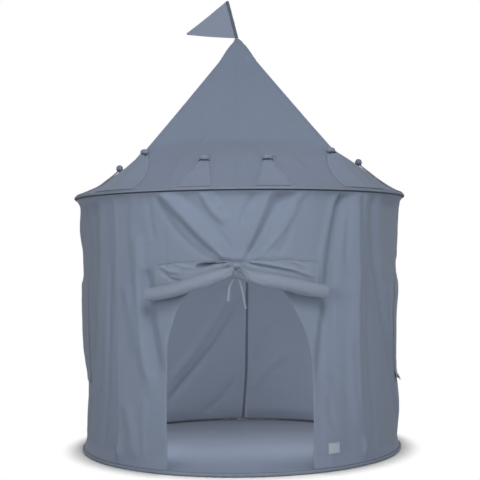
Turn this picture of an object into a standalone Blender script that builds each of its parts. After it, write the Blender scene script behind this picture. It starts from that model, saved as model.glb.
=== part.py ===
"""A round play tent: cloth walls and a crowned roof on two hoops and eight poles.

Metres, +Z up. The tent stands on Z = 0 with its door towards -Y, centred on the Z axis.
"""
import bisect
import math

import bmesh
import bpy
from mathutils import Matrix, Vector

# Cloth, rods and the clearance between neighbours
cloth = 0.0012
gap = 0.0003
rod_radius = 0.0025
casing_radius = 0.0055
casing_bore = 0.0036
overrun = 0.02

# Hoops and walls
eave_radius = 0.500
eave_height = 0.755
base_step = 0.017
wall_low_inset = 0.0050
wall_mid_inset = 0.0027
wall_high_inset = 0.0100
wall_low_height = 0.029
wall_mid_height = 0.340
wall_upper_drop = 0.155
wall_high_drop = 0.022
floor_cloth = 0.0012

# Poles with their feet, sleeves and corner elbows
pole_radius = 0.00475
pole_foot_inset = 0.0153
pole_head_inset = 0.0207
foot_wall = 0.0018
foot_height = 0.072
foot_floor = 0.004
sleeve_cloth = 0.0009
sleeve_bottom = 0.082
sleeve_drop = 0.033
elbow_wall = 0.0017
elbow_arm = 0.038
elbow_seat = 0.014
elbow_bend_radius = 0.012
corner_angles = {"front_right": -45.0, "back_right": 45.0, "back_left": 135.0, "front_left": 225.0}

# Roof cover: a square pyramid above, drawn out to the round eave hoop below
ridge_rise = 0.402
ridge_top_radius = 0.0806
shoulder_radius = 0.0444
shoulder_rise = 0.446
neck_radius = 0.0245
neck_rise = 0.467
mouth_radius = 0.0140
mouth_rise = 0.4775
square_height_shares = (0.0, 0.035, 0.07, 0.11, 0.16, 0.25, 0.36, 1.0)
square_form_shares = (0.0, 0.174, 0.256, 0.295, 0.346, 0.509, 0.97, 1.0)
roof_row_shares = (0.0, 0.0295, 0.059, 0.0926, 0.1347, 0.2105, 0.3031, 0.56, 0.8419, 0.934, 0.978, 1.0)

# Crown points, sewn in at the eave and lying up the roof, each with a stuffed tip
crown_count = 12
crown_pair_angle = 13.5
crown_turn = -1.2
crown_length = 0.160
crown_base_width = 0.088
crown_neck_width = 0.027
crown_cloth = 0.0020
crown_lift = 0.0009
tip_length = 0.019
tip_width = 0.027
tip_thickness = 0.017

# Apex hub, mast and flag
hub_radius = 0.0175
hub_half = 0.0175
hub_drop = 0.0024
socket_reach = 0.062
pole_end_radius = 0.0300
mast_radius = 0.0030
mast_tilt = 14.0
mast_pass_x = -0.0015
mast_pass_lift = 0.0017
mast_seat = 0.008
mast_rise = 0.1705
flag_sleeve_cloth = 0.0011
flag_lift = 0.0097
flag_fly = 0.152
flag_pitch = 5.0
flag_tip_height = 0.004
flag_cloth = 0.0010
flag_wave = 0.005
flag_wave_share = 0.8

# Door arch, rolled curtain and tie
door_turn = -1.1
door_half_width = 0.199
door_spring_height = 0.300
door_top = 0.552
door_arch_power = 1.5
door_step_power = 0.8
door_steps = 12
curtain_margin = 0.0090
curtain_half_angle = 26.9
curtain_roll_radius = 0.0208
roll_standoff = 0.0020
roll_half_length = 0.2515
roll_middle_drop = 0.0120
roll_end_drop = 0.0610
roll_station_shares = (0.0, 0.03, 0.08, 0.14, 0.21, 0.30, 0.40, 0.52, 0.64, 0.76, 0.88, 1.0)
roll_size_shares = (0.70, 0.70, 0.84, 0.95, 1.0, 1.0, 1.0, 1.0, 1.0, 0.99, 0.97, 0.95)
roll_drop_shares = (0.0, 0.0, 0.02, 0.05, 0.10, 0.18, 0.30, 0.45, 0.60, 0.74, 0.87, 1.0)
roll_core_share = 0.62
roll_core_length = 0.004
ribbon_cloth = 0.0012
ribbon_width = 0.0090
knot_radius = 0.0058
knot_angle = 38.0
bow_cloth_width = 0.0054
bow_long = 0.040
bow_short = 0.024
bow_width = 0.011
tail_cloth = 0.0009
tail_width = 0.0065
tail_long = 0.081
tail_short = 0.0625
tail_long_out = 0.0195
tail_short_out = 0.0185
tail_long_share = 0.55
tail_short_share = 0.90

# Side windows, back seam and the bare label
window_half_angle = 15.0
window_bottom = 0.250
window_top = 0.490
window_corner = 0.030
net_margin_angle = 1.5
net_margin = 0.012
net_cloth = 0.0006
cover_half_angle = 20.0
cover_bottom = 0.214
cover_top = 0.522
cover_flare = 0.0045
back_seam_angle = 178.0
seam_half_width = 0.0064
seam_cloth = 0.0010
label_angle = 31.5
label_width = 0.036
label_height = 0.029
label_middle = 0.0605
label_cloth = 0.0006

# Folds of the hanging walls
gather_depth = 0.0055
gather_reach = 0.060
side_fold_depth = 0.0070
side_fold_width = 0.030
side_fold_angle = 31.0
wall_ripple = 0.0018
ripple_waves = (12.0, 5.0)
pole_ridge = 0.0030
pole_ridge_width = 0.020
front_row_shares = (0.0, 0.024, 0.12, 0.23, 0.34, 0.45, 0.56, 0.64, 0.71, 0.77, 0.83, 0.90, 0.978, 1.0)
side_row_shares = (0.0, 0.024, 0.16, 0.30, 0.445, 0.58, 0.70, 0.80, 0.978, 1.0)
gather_angles = (-47.0, -38.0, -29.0, -7.0, 18.0, 25.0, 34.0, 49.0)
gather_share = (-1.0, 1.0, -0.8, 0.55, -0.9, 0.7, -0.9, 0.6)
gather_width_shares = (0.5, 0.5, 0.5, 1.3, 0.45, 0.45, 0.5, 0.9)
gather_spread = 9.0
gather_top_share = 0.35

# Facet counts
ring_steps = 54
pole_sides = 10
front_columns = 36
side_columns = 27
roof_columns = 12

# Places worked out from the sizes above
base_radius = eave_radius - base_step
eave_line = eave_radius - casing_radius
base_line = base_radius - casing_radius
wall_low_radius = base_line - wall_low_inset
wall_mid_radius = base_line - wall_mid_inset
wall_high_radius = eave_line - wall_high_inset
wall_upper_height = eave_height - wall_upper_drop
wall_high_height = eave_height - wall_high_drop
pole_foot_radius = base_line - pole_foot_inset
pole_head_radius = eave_line - pole_head_inset
sleeve_top = eave_height - sleeve_drop
wall_bottom = 2.0 * casing_radius + gap
wall_top = eave_height - casing_radius - gap
roof_bottom = eave_height + casing_radius + gap
elbow_bore = (pole_radius + gap) / math.cos(math.pi / pole_sides)
elbow_outer = elbow_bore + elbow_wall
ridge_slope = ridge_rise / (eave_line - ridge_top_radius)
ridge_drop = (elbow_outer + 2.0 * gap + cloth) * math.hypot(1.0, ridge_slope)
curtain_top = door_top + curtain_margin
roll_middle_height = door_top - roll_middle_drop
roll_end_height = roll_middle_height - roll_end_drop
knot_height = curtain_top - knot_radius
elbow_height = roof_bottom + (eave_line - pole_head_radius) * ridge_slope - ridge_drop
elbow_radius = pole_foot_radius + (pole_head_radius - pole_foot_radius) * elbow_height / eave_height
hub_height = elbow_height + (elbow_radius - pole_end_radius) * ridge_slope - hub_drop
hub_bottom = hub_height - hub_half
hub_top = hub_height + hub_half
mast_pass_z = roof_bottom + mouth_rise + mast_pass_lift
mast_foot_z = hub_bottom + mast_seat
mast_top_z = mast_foot_z + mast_rise
flag_foot_z = roof_bottom + mouth_rise + flag_lift


def clear_scene():
    for item in list(bpy.data.objects):
        bpy.data.objects.remove(item, do_unlink=True)


def collection(name):
    group = bpy.data.collections.new(name)
    bpy.context.scene.collection.children.link(group)
    return group


def material(name, colour, roughness, metallic=0.0):
    mat = bpy.data.materials.new(name)
    mat.use_nodes = True
    shader = mat.node_tree.nodes["Principled BSDF"]
    shader.inputs["Base Color"].default_value = (*colour, 1.0)
    shader.inputs["Roughness"].default_value = roughness
    shader.inputs["Metallic"].default_value = metallic
    return mat


def blend(x, places, values):
    """Read a value between places, easing in and out of each."""
    x = min(max(x, places[0]), places[-1])
    i = min(bisect.bisect_right(places, x), len(places) - 1)
    t = (x - places[i - 1]) / (places[i] - places[i - 1])
    return values[i - 1] + (values[i] - values[i - 1]) * t * t * (3.0 - 2.0 * t)


def line(x, places, values):
    """Read a value between places along straight runs."""
    x = min(max(x, places[0]), places[-1])
    i = min(bisect.bisect_right(places, x), len(places) - 1)
    t = (x - places[i - 1]) / (places[i] - places[i - 1])
    return values[i - 1] + (values[i] - values[i - 1]) * t


def ring_point(radius, angle, z):
    """A point at an angle in degrees, counted from +X."""
    return Vector((radius * math.cos(math.radians(angle)), radius * math.sin(math.radians(angle)), z))


def front_point(radius, angle, z):
    """A point at an angle in degrees, counted from the door towards +X."""
    return ring_point(radius, angle - 90.0, z)


# Objects and shared modelling steps

def put(obj, group, mat, parent=None, origin=None):
    """Finish a part: collection, material, smooth shading, and its origin on its own axis."""
    for owner in list(obj.users_collection):
        owner.objects.unlink(obj)
    group.objects.link(obj)
    obj.data.materials.clear()
    obj.data.materials.append(mat)
    if origin is not None:
        obj.data.transform(Matrix.Translation(-Vector(origin)))
        obj.location = origin
    if parent is not None:
        bpy.context.view_layer.update()
        obj.parent = parent
        obj.matrix_parent_inverse = parent.matrix_world.inverted()
    if obj.type == "MESH":
        obj.data.shade_smooth()
        obj.data.set_sharp_from_angle(angle=math.radians(40.0))
    return obj


def mesh_object(name, bm):
    bmesh.ops.recalc_face_normals(bm, faces=bm.faces[:])
    if bm.calc_volume(signed=True) < 0.0:
        bmesh.ops.reverse_faces(bm, faces=bm.faces[:])
    mesh = bpy.data.meshes.new(name)
    bm.to_mesh(mesh)
    bm.free()
    obj = bpy.data.objects.new(name, mesh)
    bpy.context.scene.collection.objects.link(obj)
    return obj


def panel(name, columns, rows, outer, inner):
    """A cloth panel: a grid on its outer face, drawn through to its inner face."""
    bm = bmesh.new()
    bmesh.ops.create_grid(bm, x_segments=columns, y_segments=rows, size=1.0)
    drawn = bmesh.ops.extrude_face_region(bm, geom=bm.faces[:])
    outside = {item for item in drawn["geom"] if isinstance(item, bmesh.types.BMVert)}
    for vert in bm.verts:
        across, up = (vert.co.x + 1.0) / 2.0, (vert.co.y + 1.0) / 2.0
        vert.co = outer(across, up) if vert in outside else inner(across, up)
    return mesh_object(name, bm)


def baked(obj):
    """The mesh of a curve or of a mesh with modifiers, welded and in world space."""
    bpy.context.view_layer.update()
    graph = bpy.context.evaluated_depsgraph_get()
    mesh = bpy.data.meshes.new_from_object(obj.evaluated_get(graph), depsgraph=graph)
    mesh.transform(obj.matrix_world)
    name = obj.name
    bpy.data.objects.remove(obj, do_unlink=True)
    bm = bmesh.new()
    bm.from_mesh(mesh)
    bmesh.ops.remove_doubles(bm, verts=bm.verts[:], dist=gap / 100.0)
    mesh.name = name + "_source"
    return mesh_object(name, bm)


def wire(name, points, radius, sides=8, cyclic=False, shares=None):
    """A round bar along points."""
    curve = bpy.data.curves.new(name, "CURVE")
    curve.dimensions = "3D"
    curve.bevel_depth = radius
    curve.bevel_resolution = sides // 2 - 2
    curve.use_fill_caps = True
    spline = curve.splines.new("POLY")
    spline.points.add(len(points) - 1)
    for i, (point, target) in enumerate(zip(spline.points, points)):
        point.co = (*target, 1.0)
        point.radius = shares[i] if shares else 1.0
    spline.use_cyclic_u = cyclic
    obj = bpy.data.objects.new(name, curve)
    bpy.context.scene.collection.objects.link(obj)
    return obj


def plate(name, outline, thickness, matrix):
    """A flat outline drawn in its own XY plane, with half its thickness to each side."""
    curve = bpy.data.curves.new(name, "CURVE")
    curve.dimensions = "2D"
    curve.fill_mode = "BOTH"
    curve.extrude = thickness / 2.0
    spline = curve.splines.new("POLY")
    spline.points.add(len(outline) - 1)
    for point, target in zip(spline.points, outline):
        point.co = (target[0], target[1], 0.0, 1.0)
    spline.use_cyclic_u = True
    obj = bpy.data.objects.new(name, curve)
    bpy.context.scene.collection.objects.link(obj)
    obj.matrix_world = matrix
    return obj


def ribbon(name, outline, width, thickness, matrix):
    """A closed ribbon that stands on an outline in its own XY plane."""
    curve = bpy.data.curves.new(name, "CURVE")
    curve.dimensions = "3D"
    curve.extrude = width / 2.0 - thickness / 2.0
    curve.bevel_depth = thickness / 2.0
    curve.bevel_resolution = 0
    spline = curve.splines.new("POLY")
    spline.points.add(len(outline) - 1)
    for point, target in zip(spline.points, outline):
        point.co = (target[0], target[1], 0.0, 1.0)
    spline.use_cyclic_u = True
    curve.twist_mode = "Z_UP"
    obj = bpy.data.objects.new(name, curve)
    bpy.context.scene.collection.objects.link(obj)
    obj.matrix_world = matrix
    return obj


def bar(name, start, end, radius, sides=pole_sides):
    """A cylinder from one point to another."""
    start, end = Vector(start), Vector(end)
    run = end - start
    bm = bmesh.new()
    turn = Matrix.Translation((start + end) / 2.0) @ run.to_track_quat("Z", "Y").to_matrix().to_4x4()
    bmesh.ops.create_cone(bm, cap_ends=True, segments=sides, radius1=radius, radius2=radius,
                          depth=run.length, matrix=turn)
    return mesh_object(name, bm)


def turned(name, profile, steps=ring_steps):
    """A closed profile turned once round the Z axis."""
    bm = bmesh.new()
    verts = [bm.verts.new((x, 0.0, z)) for x, z in profile]
    for first, second in zip(verts, verts[1:] + verts[:1]):
        bm.edges.new((first, second))
    mesh = bpy.data.meshes.new(name)
    bm.to_mesh(mesh)
    bm.free()
    obj = bpy.data.objects.new(name, mesh)
    bpy.context.scene.collection.objects.link(obj)
    screw = obj.modifiers.new("Turn", "SCREW")
    screw.steps = screw.render_steps = steps
    screw.use_merge_vertices = True
    screw.merge_threshold = 0.0001
    screw.use_normal_calculate = True
    return obj


def hoop(name, line_radius, z):
    bpy.ops.mesh.primitive_torus_add(major_segments=ring_steps, minor_segments=6, location=(0.0, 0.0, z),
                                     major_radius=line_radius, minor_radius=rod_radius)
    obj = bpy.context.active_object
    obj.name = obj.data.name = name
    return obj


def boolean(obj, operation, other, cutters, parent=None):
    """Join or cut with another mesh, which stays as a hidden guide."""
    if parent is not None:
        other.parent = parent
    for owner in list(other.users_collection):
        owner.objects.unlink(other)
    cutters.objects.link(other)
    other.hide_render = True
    other.display_type = "WIRE"
    modifier = obj.modifiers.new(operation.title(), "BOOLEAN")
    modifier.operation = operation
    modifier.solver = "EXACT"
    modifier.object = other
    return obj


# The surfaces that the cloth follows

def gathers(arc, z):
    """Folds that run from the curtain's tie up to the eave."""
    across, up = arc, z - knot_height
    if up <= 0.0:
        return 0.0
    reach = math.hypot(across, up)
    bearing = math.degrees(math.atan2(across, up))
    depth = 0.0
    for angle, share, width_share in zip(gather_angles, gather_share, gather_width_shares):
        depth += gather_depth * share * math.exp(-((bearing - angle) / (gather_spread * width_share)) ** 2)
    fade = min(reach / gather_reach, 1.0) * min((wall_top - z) / gather_reach + gather_top_share, 1.0)
    return depth * fade


def wall_radius(angle, z):
    """Outer radius of the wall at an angle from the door, with its main folds."""
    places = (wall_bottom, wall_low_height, wall_mid_height, wall_upper_height, wall_high_height, wall_top)
    radii = (base_line, wall_low_radius, wall_mid_radius, base_line, wall_high_radius, eave_line)
    radius = line(z, places, radii)
    turn = (angle + 180.0) % 360.0 - 180.0
    free = min(1.0, (z - wall_bottom) / wall_low_height, (wall_top - z) / (wall_top - wall_high_height))
    to_pole = min(abs(abs(turn) - 45.0), abs(abs(turn) - 135.0))
    ridge = pole_ridge * math.exp(-(math.radians(to_pole) * radius / pole_ridge_width) ** 2)
    folds = 0.0
    if abs(turn) < 45.0:
        arc = math.radians(turn) * radius
        folds += gathers(math.radians(turn - door_turn) * radius, z)
        to_fold = (abs(arc) - math.radians(side_fold_angle) * radius) / side_fold_width
        drop = min(max((z - cover_bottom) / window_bottom, 0.0), 1.0)
        folds -= side_fold_depth * drop * math.exp(-4.0 * to_fold * to_fold)
        if z < knot_height + gather_reach:
            folds = min(folds, 0.0)
    elif abs(abs(turn) - 90.0) < 44.0:
        folds += wall_ripple * math.prod(math.cos(math.radians(turn) * wave) for wave in ripple_waves)
    return radius + (ridge + folds) * free


def ridge_radius(z):
    """Outer radius of the roof's four ridges."""
    heights = (0.0, ridge_rise, shoulder_rise, neck_rise, mouth_rise)
    radii = (eave_line, ridge_top_radius, shoulder_radius, neck_radius, mouth_radius)
    return line(z - roof_bottom, heights, radii)


def roof_radius(angle, z):
    """Outer radius of the roof: round at the eave, square above."""
    turn = (angle + 45.0) % 90.0 - 45.0
    square = math.cos(math.radians(45.0)) / math.cos(math.radians(turn))
    form = line((z - roof_bottom) / ridge_rise, square_height_shares, square_form_shares)
    return ridge_radius(z) * (1.0 - form * (1.0 - square))


def roof_place(angle, z, lift=0.0):
    """A point over the roof cloth, lifted square to it."""
    step = math.degrees(gap / eave_radius)
    here = front_point(roof_radius(angle, z), angle, z)
    beside = front_point(roof_radius(angle + step, z), angle + step, z)
    before = front_point(roof_radius(angle - step, z), angle - step, z)
    above = front_point(roof_radius(angle, z + gap), angle, z + gap)
    return here + (beside - before).cross(above - here).normalized() * lift


# Frame: hoops, poles and their fittings

def casing_profile(line_radius, z):
    """A cloth casing round a hoop, open along its inner side."""
    outer = [math.radians(150.0 - 60.0 * i) for i in range(6)]
    inner = [math.radians(-150.0 + 75.0 * i) for i in range(5)]
    profile = [(line_radius + casing_radius * math.cos(a), z + casing_radius * math.sin(a)) for a in outer]
    profile += [(line_radius + casing_bore * math.cos(a), z + casing_bore * math.sin(a)) for a in inner]
    return profile


def corner_places(angle):
    """The bend of a corner elbow and the way the roof pole runs from it."""
    bend = ring_point(elbow_radius, angle, elbow_height)
    rise = ring_point(-1.0, angle, ridge_slope).normalized()
    foot = ring_point(pole_foot_radius, angle, 0.0)
    return foot, bend, rise


def build_frame(tent, cutters, root, mats):
    put(hoop("base_hoop", base_line, casing_radius), tent, mats["rod"], root)
    put(hoop("eave_hoop", eave_line, eave_height), tent, mats["rod"], root)
    for corner, angle in corner_angles.items():
        foot, bend, rise = corner_places(angle)
        fall = (foot - bend).normalized()
        start = foot - fall * (floor_cloth + gap + foot_floor + gap)
        wall_pole = bar("wall_pole_" + corner, start, bend + fall * elbow_seat, pole_radius)
        put(wall_pole, tent, mats["pole"], root)
        hub_run = (bend.to_2d().length - pole_end_radius) / rise.to_2d().length
        put(bar("roof_pole_" + corner, bend + rise * elbow_seat, bend + rise * hub_run, pole_radius),
            tent, mats["pole"], root)

        # Foot: a capped sleeve that stands on the floor cloth
        bottom = foot - fall * (floor_cloth + gap + pole_radius * math.tan(math.asin(fall.to_2d().length)))
        shell = bar("pole_foot_" + corner, bottom, bottom - fall * foot_height, elbow_bore + foot_wall)
        bore = bar("foot_bore_" + corner, start + fall * gap, bottom - fall * (foot_height + overrun),
                   elbow_bore)
        put(boolean(shell, "DIFFERENCE", bore, cutters), tent, mats["plastic"], root)

        # Sleeve: the cloth channel that holds the pole to the wall
        sleeve_shell = bar("pole_sleeve_" + corner, foot - fall * sleeve_bottom, foot - fall * sleeve_top,
                           elbow_bore + sleeve_cloth)
        sleeve_bore = bar("sleeve_bore_" + corner, foot - fall * (sleeve_bottom - overrun / 2.0),
                          foot - fall * (sleeve_top + overrun), elbow_bore)
        put(boolean(sleeve_shell, "DIFFERENCE", sleeve_bore, cutters), tent, mats["lining"], root)

        # Elbow: a bent tube that takes the wall pole below and the roof pole above
        half = math.acos(max(-1.0, min(1.0, (-fall).dot(rise)))) / 2.0
        cut = elbow_bend_radius * math.tan(half)
        path = [bend + fall * elbow_arm]
        for i in range(5):
            t = i / 4.0
            near, far = bend + fall * cut, bend + rise * cut
            path.append(near.lerp(bend, t).lerp(bend.lerp(far, t), t))
        path.append(bend + rise * elbow_arm)
        reach = [path[0] + fall * overrun] + path[1:-1] + [path[-1] + rise * overrun]
        tube = baked(wire("eave_elbow_" + corner, path, elbow_outer, pole_sides))
        hole = baked(wire("elbow_bore_" + corner, reach, elbow_bore, pole_sides))
        put(boolean(tube, "DIFFERENCE", hole, cutters), tent, mats["plastic"], root)


def mast_place(z):
    """A point on the mast's leaning axis."""
    return Vector((mast_pass_x - (z - mast_pass_z) * math.tan(math.radians(mast_tilt)), 0.0, z))


def build_apex(tent, cutters, root, mats):
    hub = bar("apex_hub", (0.0, 0.0, hub_bottom), (0.0, 0.0, hub_top), hub_radius, 24)
    for corner, angle in corner_angles.items():
        foot, bend, rise = corner_places(angle)
        run = (bend.to_2d().length - hub_radius / 2.0) / rise.to_2d().length
        inner = bend + rise * run
        socket = bar("socket_" + corner, inner, inner - rise * socket_reach, elbow_outer)
        boolean(hub, "UNION", socket, cutters)
    for corner, angle in corner_angles.items():
        foot, bend, rise = corner_places(angle)
        seat = (bend.to_2d().length - pole_end_radius) / rise.to_2d().length
        stop = bend + rise * (seat + gap)
        bore = bar("socket_bore_" + corner, stop, stop - rise * (socket_reach + overrun), elbow_bore)
        boolean(hub, "DIFFERENCE", bore, cutters)
    mast_bore = bar("mast_bore", mast_place(mast_foot_z - gap), mast_place(hub_top + overrun / 2.0),
                    (mast_radius + gap) / math.cos(math.pi / pole_sides))
    put(boolean(hub, "DIFFERENCE", mast_bore, cutters), tent, mats["plastic"], root)

    mast_base = mast_place(mast_foot_z)
    mast = put(bar("flag_mast", mast_base, mast_place(mast_top_z), mast_radius), tent, mats["pole"], root,
               mast_base)

    # Flag: a pennant with a closed sleeve that turns on the mast
    bore_radius = (mast_radius + gap) / math.cos(math.pi / pole_sides)
    sleeve_radius = bore_radius + flag_sleeve_cloth
    axis = (mast_place(mast_top_z) - mast_base).normalized()
    side = Vector((0.0, 1.0, 0.0))
    out = side.cross(axis).normalized() * -1.0
    foot = mast_place(flag_foot_z)
    hoist = (mast_place(mast_top_z) - foot).length + gap + flag_sleeve_cloth
    pitch = math.radians(flag_pitch)
    tip = Vector((-math.cos(pitch), 0.0, math.sin(pitch))) * flag_fly

    def pennant(across, up, push):
        low = foot.lerp(foot + tip, across)
        high = (foot + axis * hoist).lerp(foot + tip + axis * flag_tip_height, across)
        wave = flag_wave * math.sin(across * 2.0 * math.pi * flag_wave_share) * across
        return low.lerp(high, up) + out * (mast_radius * (1.0 - across)) + side * (push + wave)

    flag = panel("flag", 8, 4, lambda a, u: pennant(a, u, -flag_cloth / 2.0),
                 lambda a, u: pennant(a, u, flag_cloth / 2.0))
    tube = bar("flag_sleeve", foot, foot + axis * hoist, sleeve_radius)
    bore = bar("flag_bore", foot - axis * overrun, foot + axis * (hoist - flag_sleeve_cloth), bore_radius)
    boolean(flag, "UNION", tube, cutters)
    put(boolean(flag, "DIFFERENCE", bore, cutters), tent, mats["flag"], mast, foot)


# Cloth: floor, walls, roof and crown

def build_floor(tent, root, mats):
    put(turned("hem_casing", casing_profile(base_line, casing_radius)), tent, mats["trim"], root)
    put(turned("eave_casing", casing_profile(eave_line, eave_height)), tent, mats["trim"], root)
    side = casing_radius + gap
    floor_radius = base_line - math.sqrt(side ** 2 - (casing_radius - floor_cloth) ** 2)
    put(bar("floor_sheet", (0.0, 0.0, 0.0), (0.0, 0.0, floor_cloth), floor_radius, ring_steps),
        tent, mats["floor"], root)


def wall_height(up, row_shares):
    count = len(row_shares) - 1
    share = line(up * count, range(count + 1), row_shares)
    return wall_bottom + (wall_top - wall_bottom) * share


def wall_panel(name, shares, angles, columns, row_shares):
    """A wall panel that reaches each angle from the door at its share of the columns."""
    def face(across, up, depth):
        z = wall_height(up, row_shares)
        angle = line(across, shares, angles)
        return front_point(wall_radius(angle, z) - depth, angle, z)
    return panel(name, columns, len(row_shares) - 1, lambda a, u: face(a, u, 0.0),
                 lambda a, u: face(a, u, cloth))


def door_outline():
    """The arch, from one foot round to the other, and closed below the wall."""
    sides = []
    for i in range(door_steps + 1):
        t = (i / door_steps) ** door_step_power
        z = door_spring_height + (door_top - door_spring_height) * t
        sides.append((door_half_width * math.sqrt(max(0.0, 1.0 - t ** door_arch_power)), z))
    right = [(door_half_width, -overrun)] + sides
    left = [(-x, z) for x, z in reversed(right[:-1])]
    return right + left


def window_outline(half_width):
    """A rectangle with round corners."""
    outline = []
    for cx, cz, start in ((1, 1, 0), (-1, 1, 90), (-1, -1, 180), (1, -1, 270)):
        middle_x = cx * (half_width - window_corner)
        middle_z = (window_top - window_corner) if cz > 0 else (window_bottom + window_corner)
        for i in range(4):
            a = math.radians(start + 30.0 * i)
            outline.append((middle_x + window_corner * math.cos(a), middle_z + window_corner * math.sin(a)))
    return outline


def build_walls(tent, cutters, root, mats):
    seam = math.degrees(gap / 2.0 / wall_mid_radius)
    upright = Matrix.Rotation(math.radians(90.0), 4, "X")

    # Front panel with its door
    wall_front = wall_panel("wall_front", (0.0, 1.0), (-45.0 + seam, 45.0 - seam), front_columns,
                            front_row_shares)
    door_cut = baked(plate("door_cut", door_outline(), eave_radius - door_half_width,
                           Matrix.Rotation(math.radians(door_turn), 4, "Z")
                           @ Matrix.Translation((0.0, -wall_mid_radius, 0.0)) @ upright))
    put(boolean(wall_front, "DIFFERENCE", door_cut, cutters), tent, mats["wall"], root)

    # Side panels, which meet in the seam at the back
    window_half = wall_mid_radius * math.sin(math.radians(window_half_angle))
    sides = (("right", 1.0, (0.0, 2.0 / 3.0, 1.0), (45.0 + seam, 135.0, back_seam_angle - seam)),
             ("left", -1.0, (0.0, 1.0 / 3.0, 1.0), (back_seam_angle - 360.0 + seam, -135.0, -45.0 - seam)))
    for side, sign, shares, angles in sides:
        wall = wall_panel("wall_" + side, shares, angles, side_columns, side_row_shares)
        turn = Matrix.Rotation(math.radians(90.0), 4, "Z") @ upright
        cut = baked(plate("window_cut_" + side, window_outline(window_half), window_half,
                          Matrix.Translation((sign * wall_mid_radius, 0.0, 0.0)) @ turn))
        put(boolean(wall, "DIFFERENCE", cut, cutters), tent, mats["wall"], root)

        # Net behind the window
        net_half = window_half_angle + net_margin_angle

        def net_face(across, up, depth, sign=sign, net_half=net_half):
            z = window_bottom - net_margin + (window_top - window_bottom + 2.0 * net_margin) * up
            angle = sign * 90.0 + net_half * (2.0 * across - 1.0)
            sagitta = wall_mid_radius * (1.0 - math.cos(math.radians(135.0 / side_columns / 2.0)))
            return front_point(wall_radius(angle, z) - cloth - 2.0 * gap - sagitta - depth, angle, z)
        put(panel("window_net_" + side, 8, 4, lambda a, u, f=net_face: f(a, u, 0.0),
                  lambda a, u, f=net_face: f(a, u, net_cloth)), tent, mats["net"], root)

        # Cover that hangs over the window from its top edge
        def cover_face(across, up, depth, sign=sign):
            z = cover_bottom + (cover_top - cover_bottom) * up
            angle = sign * 90.0 + cover_half_angle * (2.0 * across - 1.0)
            flare = cover_flare * (1.0 - up) ** 2 * abs(2.0 * across - 1.0) + gap
            return front_point(wall_radius(angle, z) + flare + cloth - depth, angle, z)
        cover = panel("window_cover_" + side, 8, 7, lambda a, u, f=cover_face: f(a, u, 0.0),
                      lambda a, u, f=cover_face: f(a, u, cloth))
        hinge_radius = wall_radius(90.0, cover_top) + gap + cloth / 2.0
        put(cover, tent, mats["wall"], root, (sign * hinge_radius, 0.0, cover_top))

    # Binding inside the back seam
    half_angle = math.degrees(seam_half_width / wall_mid_radius)
    rows = len(side_row_shares) - 1

    def seam_face(across, up, depth):
        z = wall_height((1.0 + up * (rows - 2)) / rows, side_row_shares)
        angle = back_seam_angle + half_angle * (2.0 * across - 1.0)
        return front_point(wall_radius(angle, z) - cloth - 2.0 * gap - depth, angle, z)
    put(panel("back_seam_binding", 2, rows - 2, lambda a, u: seam_face(a, u, 0.0),
              lambda a, u: seam_face(a, u, seam_cloth)), tent, mats["seam"], root)

    # Bare label
    def label_face(across, up, depth):
        z = label_middle + label_height * (up - 0.5)
        angle = label_angle + math.degrees(label_width / wall_low_radius) * (across - 0.5)
        return front_point(wall_radius(angle, z) + gap + label_cloth - depth, angle, z)
    put(panel("blank_label", 2, 2, lambda a, u: label_face(a, u, 0.0),
              lambda a, u: label_face(a, u, label_cloth)), tent, mats["label"], root)


def build_roof(tent, root, mats):
    count = len(roof_row_shares) - 1
    lean = math.hypot(1.0, 1.0 / ridge_slope)

    def face(across, up, depth, middle):
        z = roof_bottom + mouth_rise * line(up * count, range(count + 1), roof_row_shares)
        half = 45.0 - math.degrees(gap / 2.0 / max(ridge_radius(z), mouth_radius))
        angle = middle + half * (2.0 * across - 1.0)
        return front_point(roof_radius(angle, z) - depth * lean, angle, z)
    for name, middle in (("front", 0.0), ("right", 90.0), ("back", 180.0), ("left", 270.0)):
        put(panel("roof_" + name, roof_columns, count, lambda a, u, m=middle: face(a, u, 0.0, m),
                  lambda a, u, m=middle: face(a, u, cloth, m)), tent, mats["roof"], root)


def climb(angle, length):
    """The height reached by going a length up the roof from the eave."""
    z, gone, step = roof_bottom, 0.0, crown_length / 200.0
    here = roof_place(angle, z)
    while gone < length:
        z += step * 0.5
        there = roof_place(angle, z)
        gone += (there - here).length
        here = there
    return z


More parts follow.
